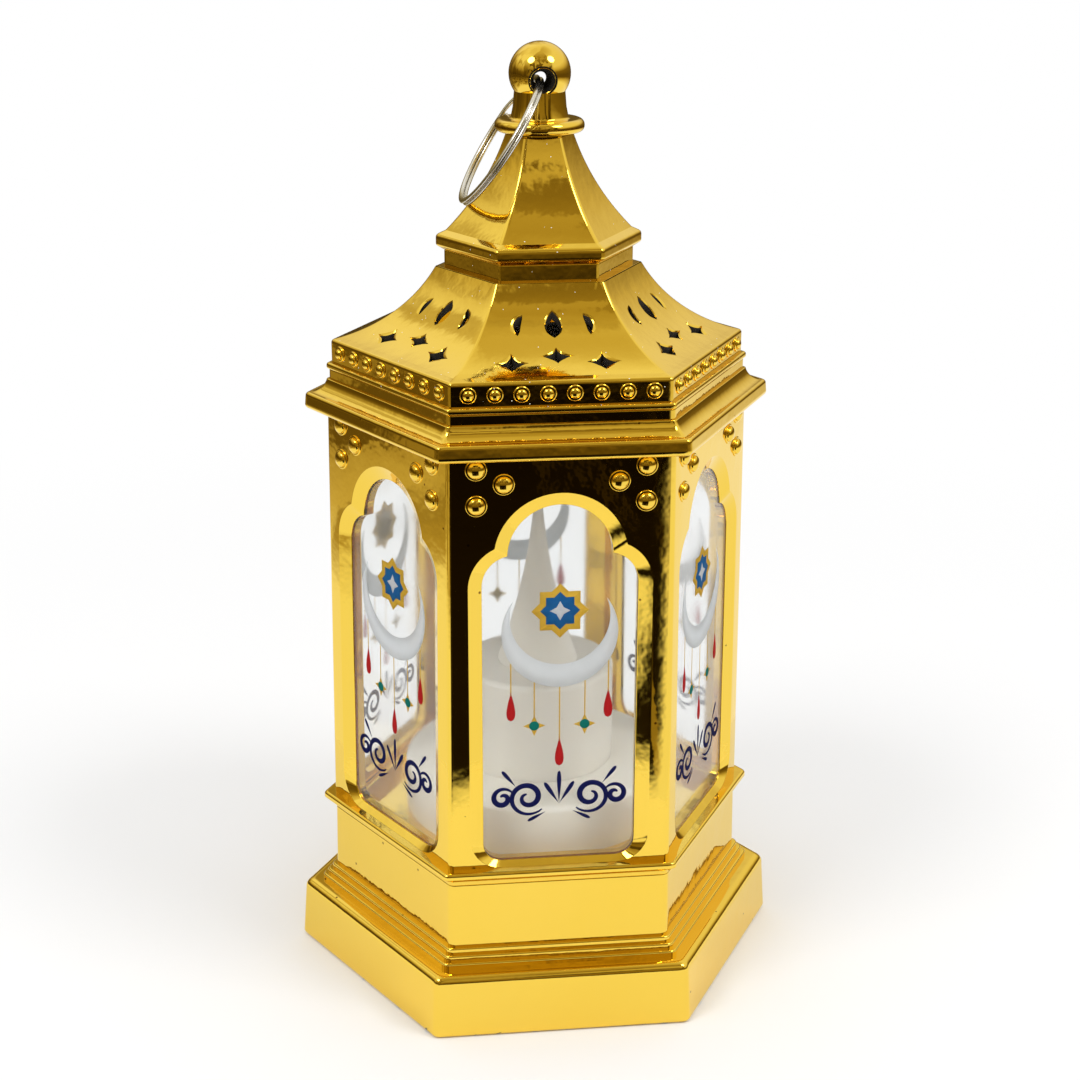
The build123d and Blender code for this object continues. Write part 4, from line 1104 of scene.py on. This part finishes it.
moon_middle = 84.0
moon_radius = 11.4
moon_inner = 9.8
moon_rise = 3.2
tip_height = (moon_rise**2 + moon_radius**2 - moon_inner**2) / (2 * moon_rise)
outer_tip = math.asin(tip_height / moon_radius)
inner_tip = math.asin((tip_height - moon_rise) / moon_inner)
outer_turn = np.linspace(math.pi - outer_tip, 2 * math.pi + outer_tip, 65)
inner_turn = np.linspace(math.pi - inner_tip, 2 * math.pi + inner_tip, 65)
moon_outer = np.stack([moon_radius * np.cos(outer_turn), moon_middle + moon_radius * np.sin(outer_turn)], -1)
moon_hollow = np.stack([
    moon_inner * np.cos(inner_turn), moon_middle + moon_rise + moon_inner * np.sin(inner_turn)
], -1)
lay_ink("print_moon", [(np.stack([moon_outer, (moon_outer + moon_hollow) / 2, moon_hollow]), False)],
        [(0.78, 0.8, 0.81), (0.72, 0.74, 0.75)])

star_level = 88.5
round_turn = np.linspace(0, 2 * math.pi, 32, endpoint=False)
ring_outline = np.stack([np.sin(round_turn), np.cos(round_turn)], -1)
pendants = [(-9.6, 69.5), (-5.0, 64.5), (0.0, 59.5), (5.0, 64.5), (9.6, 69.5)]
strings = []
for across, level in pendants:
    top = moon_middle - math.sqrt(moon_radius**2 - across**2)
    line = np.stack([np.full(9, across), np.linspace(top, level + 1.5, 9)], -1)
    strings.append(ribbon(line, np.full(9, 0.12)))
gold_stars = [disc((across, level), star_points(2.2, 0.42, 4)) for across, level in pendants[1::2]]
lay_ink("print_gold", [disc((0, star_level), star_points(5.6, 0.7654, 8))] + strings + gold_stars,
        [(0.76, 0.5, 0.07), (0.68, 0.43, 0.05)])
lay_ink("print_blue", [disc((0, star_level), star_points(3.9, 0.7654, 8))],
        [(0.02, 0.16, 0.46), (0.02, 0.13, 0.38)], layer=1)
lay_ink("print_white", [disc((0, star_level), star_points(2.0, 0.5, 4))],
        [(0.85, 0.85, 0.82), (0.78, 0.78, 0.76)], layer=2)
lay_ink("print_red", [drop((across, level + 2.6), 6.4, 2.0, 180) for across, level in pendants[::2]],
        [(0.58, 0.02, 0.025), (0.5, 0.02, 0.02)])
lay_ink("print_teal", [disc((across, level), 1.0 * ring_outline) for across, level in pendants[1::2]],
        [(0.01, 0.25, 0.22), (0.01, 0.2, 0.18)], layer=1)

scroll_level = 49.0
curls = []
for sign in (-1, 1):
    for middle, start, turns, large, small in ((6.3, -2.4, 1.6, 3.9, 0.7), (11.3, 2.6, -1.3, 2.3, 0.5)):
        share = np.linspace(0, 1, 60)
        spin = start + share * turns * 2 * math.pi
        size = large + (small - large) * share
        path = np.stack([sign * (middle + size * np.cos(spin)), scroll_level + size * np.sin(spin)], -1)
        curls.append(ribbon(path, 0.14 + 0.42 * np.sin(math.pi * share) ** 0.7))
    curls.append(drop((sign * 8.6, scroll_level + 2.4), 4.6, 0.9, sign * 38))
    curls.append(drop((sign * 2.6, scroll_level - 3.2), 4.2, 0.8, sign * 118))
fan = [drop((0, scroll_level - 1.6), length, 1.0, lean) for length, lean in ((7.2, 0), (5.6, 32), (5.6, -32))]
lay_ink("print_navy", curls + fan, [(0.012, 0.016, 0.11), (0.01, 0.012, 0.085)])

# Underside and inside: black cover and door with a fine moulded grain, zinc screws, nickel contacts,
# jacketed cells, the switch, the lamp on its board and the insulated leads.
dress(["bottom_cover", "battery_door"], make_finish(
    "cover_plastic", [(0.05, 0.05, 0.055), (0.035, 0.035, 0.04), (0.09, 0.09, 0.09)],
    roughness=(0.4, 0.6), wave_scale=1400, wave_depth=0.02, speck_amount=0.03,
))
dress(["switch_body", "switch_slider"], make_finish(
    "switch_plastic", [(0.12, 0.12, 0.13), (0.1, 0.1, 0.11), (0.18, 0.18, 0.18)],
    roughness=(0.3, 0.45), wave_scale=900, wave_depth=0.01, speck_amount=0.02,
))
dress(["cover_screws", "battery_door_screw", "candle_screws"], make_finish(
    "screw_steel", [(0.62, 0.62, 0.6), (0.5, 0.5, 0.5), (0.25, 0.22, 0.18)],
    roughness=(0.25, 0.45), wave_scale=700, wave_depth=0.02, speck_amount=0.06, metallic=1.0,
))
dress(["battery_contacts"], make_finish(
    "contact_steel", [(0.72, 0.7, 0.66), (0.6, 0.59, 0.56), (0.3, 0.28, 0.25)],
    roughness=(0.2, 0.4), wave_scale=500, wave_depth=0.02, speck_amount=0.03, metallic=1.0,
))
dress(["aaa_cell_1", "aaa_cell_2", "aaa_cell_3"], make_finish(
    "cell_jacket", [(0.16, 0.18, 0.21), (0.12, 0.14, 0.17), (0.3, 0.3, 0.3)],
    roughness=(0.25, 0.4), wave_scale=300, wave_depth=0.02, speck_amount=0.02,
))
dress(["led_board"], make_finish(
    "board_laminate", [(0.05, 0.25, 0.1), (0.04, 0.2, 0.08), (0.4, 0.35, 0.15)],
    roughness=(0.3, 0.5), wave_scale=800, wave_depth=0.02, speck_amount=0.04,
))
dress(["led"], make_finish(
    "lamp_resin", [(0.95, 0.9, 0.75), (0.9, 0.85, 0.7), (0.8, 0.75, 0.6)],
    roughness=(0.1, 0.2), wave_scale=400, wave_depth=0.01,
))
dress(["switch_lead", "led_lead_plus"], make_finish(
    "red_insulation", [(0.5, 0.03, 0.025), (0.42, 0.025, 0.02), (0.6, 0.1, 0.1)],
    roughness=(0.35, 0.5), wave_scale=900, wave_depth=0.02, speck_amount=0.02,
))
dress(["led_lead_minus"], make_finish(
    "black_insulation", [(0.03, 0.03, 0.03), (0.02, 0.02, 0.02), (0.08, 0.08, 0.08)],
    roughness=(0.35, 0.5), wave_scale=900, wave_depth=0.02, speck_amount=0.02,
))

# Studio: white paper under and round the lantern. Reflections see it only close by. Further out they see a
# dim room with a floor and walls of its own: it is the dark that the plated fronts show.
floor_reach = 6.0
floor_corners = [(x * floor_reach, y * floor_reach, 0) for x, y in ((-1, -1), (1, -1), (1, 1), (-1, 1))]
floor_mesh = bpy.data.meshes.new("paper")
floor_mesh.from_pydata(floor_corners, [], [(0, 1, 2, 3)])
paper = bpy.data.objects.new("paper", floor_mesh)
bpy.context.scene.collection.objects.link(paper)
paper_white, paper_tree, paper_shader = new_material("paper_white")
set_inputs(paper_shader, {"Base Color": (0.93, 0.93, 0.93, 1), "Roughness": 0.9, "Specular IOR Level": 0.1})
rays = add_node(paper_tree, "LightPath", {}).outputs
place = add_node(paper_tree, "TexCoord", {}).outputs["Object"]
away = add_node(paper_tree, "VectorMath", {0: place}, operation="LENGTH").outputs["Value"]
far = spread(paper_tree, away, 0.1, 0.4, curve="SMOOTHSTEP")
shown = compute(paper_tree, "ADD", rays["Is Camera Ray"], rays["Is Glossy Ray"], use_clamp=True)
seen = compute(paper_tree, "MULTIPLY", far, shown)
paper_glow = add_node(paper_tree, "Emission", {})
paper_mix = add_node(paper_tree, "MixShader", {0: seen, 1: paper_shader.outputs[0], 2: paper_glow.outputs[0]})
set_inputs(paper_tree.nodes["Material Output"], {"Surface": paper_mix.outputs[0]})
floor_mesh.materials.append(paper_white)

room_radius = 1.6
room_level = 0.0015
paper_edge = 0.135
floor_rings = 20
room_turn = np.linspace(0, math.pi / 2, 25)
room_floor = np.stack([
    np.geomspace(paper_edge, room_radius, floor_rings), np.full(floor_rings, room_level),
], -1)
room_wall = np.stack([room_radius * np.cos(room_turn), room_level + room_radius * np.sin(room_turn)], -1)[1:]
room_wall[-1, 0] = 0.001
room_grid = turning(np.vstack([room_floor, room_wall]), 96)

room_dim, room_tree, plain_shader = new_material("room_dim")
room_tree.nodes.remove(plain_shader)
place = add_node(room_tree, "TexCoord", {}).outputs["Object"]
away = add_node(room_tree, "VectorMath", {0: place}, operation="LENGTH").outputs["Value"]
aim = add_node(room_tree, "VectorMath", {0: place}, operation="NORMALIZE").outputs["Vector"]
rise = add_node(room_tree, "SeparateXYZ", {0: aim}).outputs["Z"]
level_place = add_node(room_tree, "VectorMath", {0: place, 1: (1, 1, 0)}, operation="MULTIPLY").outputs[0]
heading = add_node(room_tree, "VectorMath", {0: level_place}, operation="NORMALIZE").outputs[0]


def ramp(value, stops):
    """A colour ramp of warm greys on a value: each stop is a place on it and a level."""
    node = add_node(room_tree, "ValToRGB", {"Fac": value})
    elements = node.color_ramp.elements
    elements[1].position = 1
    for position, level in stops[1:-1]:
        elements.new(position)
    for element, (position, level) in zip(elements, stops):
        element.position = position
        element.color = (level, level * (0.62 + 0.38 * level), level * (0.15 + 0.85 * level**2), 1)
    return node.outputs["Color"]


def clutter(spot, stretch, low, high):
    """Noise on a place that is stretched along each axis, as soft-edged patches between 0 and 1."""
    stretched = add_node(room_tree, "VectorMath", {0: spot, 1: stretch}, operation="MULTIPLY")
    noise = add_node(room_tree, "TexNoise", {"Vector": stretched.outputs["Vector"], "Scale": 1, "Detail": 1})
    return spread(room_tree, noise.outputs["Fac"], low, high, curve="SMOOTHSTEP")


def headed(azimuth, start, end):
    """A mask of headings: 0 further from an azimuth than the start angle, 1 nearer than the end angle, and
    a smooth step between, all in degrees."""
    middle = (math.sin(math.radians(azimuth)), -math.cos(math.radians(azimuth)), 0)
    facing = add_node(room_tree, "VectorMath", {0: heading, 1: middle}, operation="DOT_PRODUCT")
    low = math.cos(math.radians(start))
    high = math.cos(math.radians(end))
    return spread(room_tree, facing.outputs["Value"], low, high, curve="SMOOTHSTEP")


ground_near = ramp(away, [(0, 1.0), (0.25, 1.0), (0.34, 0.62), (0.45, 0.36), (1, 0.12)])
ground_far = ramp(away, [(0, 1.0), (0.25, 1.0), (0.3, 0.45), (0.4, 0.14), (1, 0.06)])
ground_right = ramp(away, [(0, 1.0), (0.4, 1.0), (0.55, 0.7), (0.8, 0.3), (1, 0.12)])
front_dark = ramp(away, [(0, 1.0), (0.138, 1.0), (0.154, 0.012), (0.5, 0.004), (1, 0.16)])
front_streak = ramp(away, [(0, 1.0), (0.138, 1.0), (0.154, 0.35), (0.3, 0.04), (0.5, 0.01), (1, 0.2)])
wall_right = ramp(rise, [(0, 0.1), (0.2, 0.2), (0.34, 0.62), (0.48, 0.88), (0.85, 0.92), (1, 0.62)])
wall_bright = ramp(rise, [(0, 0.08), (0.2, 0.18), (0.42, 0.6), (0.62, 0.97), (0.85, 0.98), (1, 0.84)])
wall_dim = ramp(rise, [(0, 0.05), (0.25, 0.12), (0.5, 0.36), (0.7, 0.76), (0.85, 0.9), (1, 0.8)])
front_bright = ramp(rise, [(0, 0.2), (0.35, 0.3), (0.65, 0.62), (0.92, 0.45), (1, 0.62)])
front_dim = ramp(rise, [(0, 0.15), (0.35, 0.05), (0.65, 0.16), (0.92, 0.36), (1, 0.62)])
wall_panels = clutter(aim, (4, 4, 0.8), 0.42, 0.56)
front_panels = clutter(aim, (7, 7, 3), 0.44, 0.52)
ground_patches = clutter(place, (9, 9, 9), 0.42, 0.56)
front_streaks = clutter(place, (60, 4, 1), 0.56, 0.64)
right_side = headed(90, 85, 60)
left_wall = blend(room_tree, wall_panels, wall_dim, wall_bright)
left_ground = blend(room_tree, ground_patches, ground_far, ground_near)
side_wall = blend(room_tree, right_side, left_wall, wall_right)
side_ground = blend(room_tree, right_side, left_ground, ground_right)
front_wall = blend(room_tree, front_panels, front_dim, front_bright)
front_ground = blend(room_tree, front_streaks, front_dark, front_streak)
wall_light = blend(room_tree, headed(-5, 55, 42), side_wall, front_wall)
ground_light = blend(room_tree, headed(-7, 25.5, 22), side_ground, front_ground)
on_ground = compute(room_tree, "LESS_THAN", rise, 0.02)
room_light = blend(room_tree, on_ground, wall_light, ground_light)
room_glow = add_node(room_tree, "Emission", {"Color": room_light})
set_inputs(room_tree.nodes["Material Output"], {"Surface": room_glow.outputs[0]})
room = make_piece("room", [(room_grid / mm, False, True)], room_dim)
room.visible_camera = False
room.visible_diffuse = False
room.visible_transmission = False
room.visible_shadow = False

world = bpy.data.worlds.new("studio")
bpy.context.scene.world = world
world.use_nodes = True
world_tree = world.node_tree
rays = add_node(world_tree, "LightPath", {}).outputs
seen = compute(world_tree, "ADD", rays["Is Camera Ray"], rays["Is Glossy Ray"])
shown = compute(world_tree, "ADD", seen, rays["Is Transmission Ray"])
set_inputs(world_tree.nodes["Background"], {
    "Color": (1, 1, 1, 1),
    "Strength": spread(world_tree, shown, 0, 1, 0.8, 1.0),
})

for name, place in (("left_lamp", (-0.5, -0.38, 0.88)), ("right_lamp", (0.5, -0.38, 0.88))):
    lamp = bpy.data.lights.new(name, "AREA")
    lamp.shape = "DISK"
    lamp.size = 0.36
    lamp.energy = 2.5
    lamp_stand = bpy.data.objects.new(name, lamp)
    lamp_stand.location = place
    lamp_stand.rotation_euler = (Vector((0, 0, 0.1)) - Vector(place)).to_track_quat("-Z", "Y").to_euler()
    bpy.context.scene.collection.objects.link(lamp_stand)

# Camera: in front of the lantern, a little to its left and above it, as the photograph was taken.
camera_azimuth = math.radians(-6.875)
camera_height = math.radians(19.656)
camera_roll = math.radians(0.213)
camera_distance = 0.42225
camera_target = Vector((0, 0, 0.09014))
film_width = 36
picture_pixels = 1080
focal_pixels = 2019.19
shift_pixels = 2.01
towards = Vector((
    math.sin(camera_azimuth) * math.cos(camera_height),
    -math.cos(camera_azimuth) * math.cos(camera_height),
    math.sin(camera_height),
))
camera_data = bpy.data.cameras.new("camera")
camera_data.sensor_width = film_width
camera_data.lens = film_width * focal_pixels / picture_pixels
camera_data.shift_x = shift_pixels / picture_pixels
camera_data.clip_start = 0.01
camera = bpy.data.objects.new("camera", camera_data)
looking = (-towards).to_track_quat("-Z", "Y").to_matrix() @ Matrix.Rotation(camera_roll, 3, "Z")
camera.matrix_world = Matrix.Translation(camera_target + towards * camera_distance) @ looking.to_4x4()
bpy.context.scene.collection.objects.link(camera)
bpy.context.scene.camera = camera
bpy.context.scene.view_settings.view_transform = "Standard"
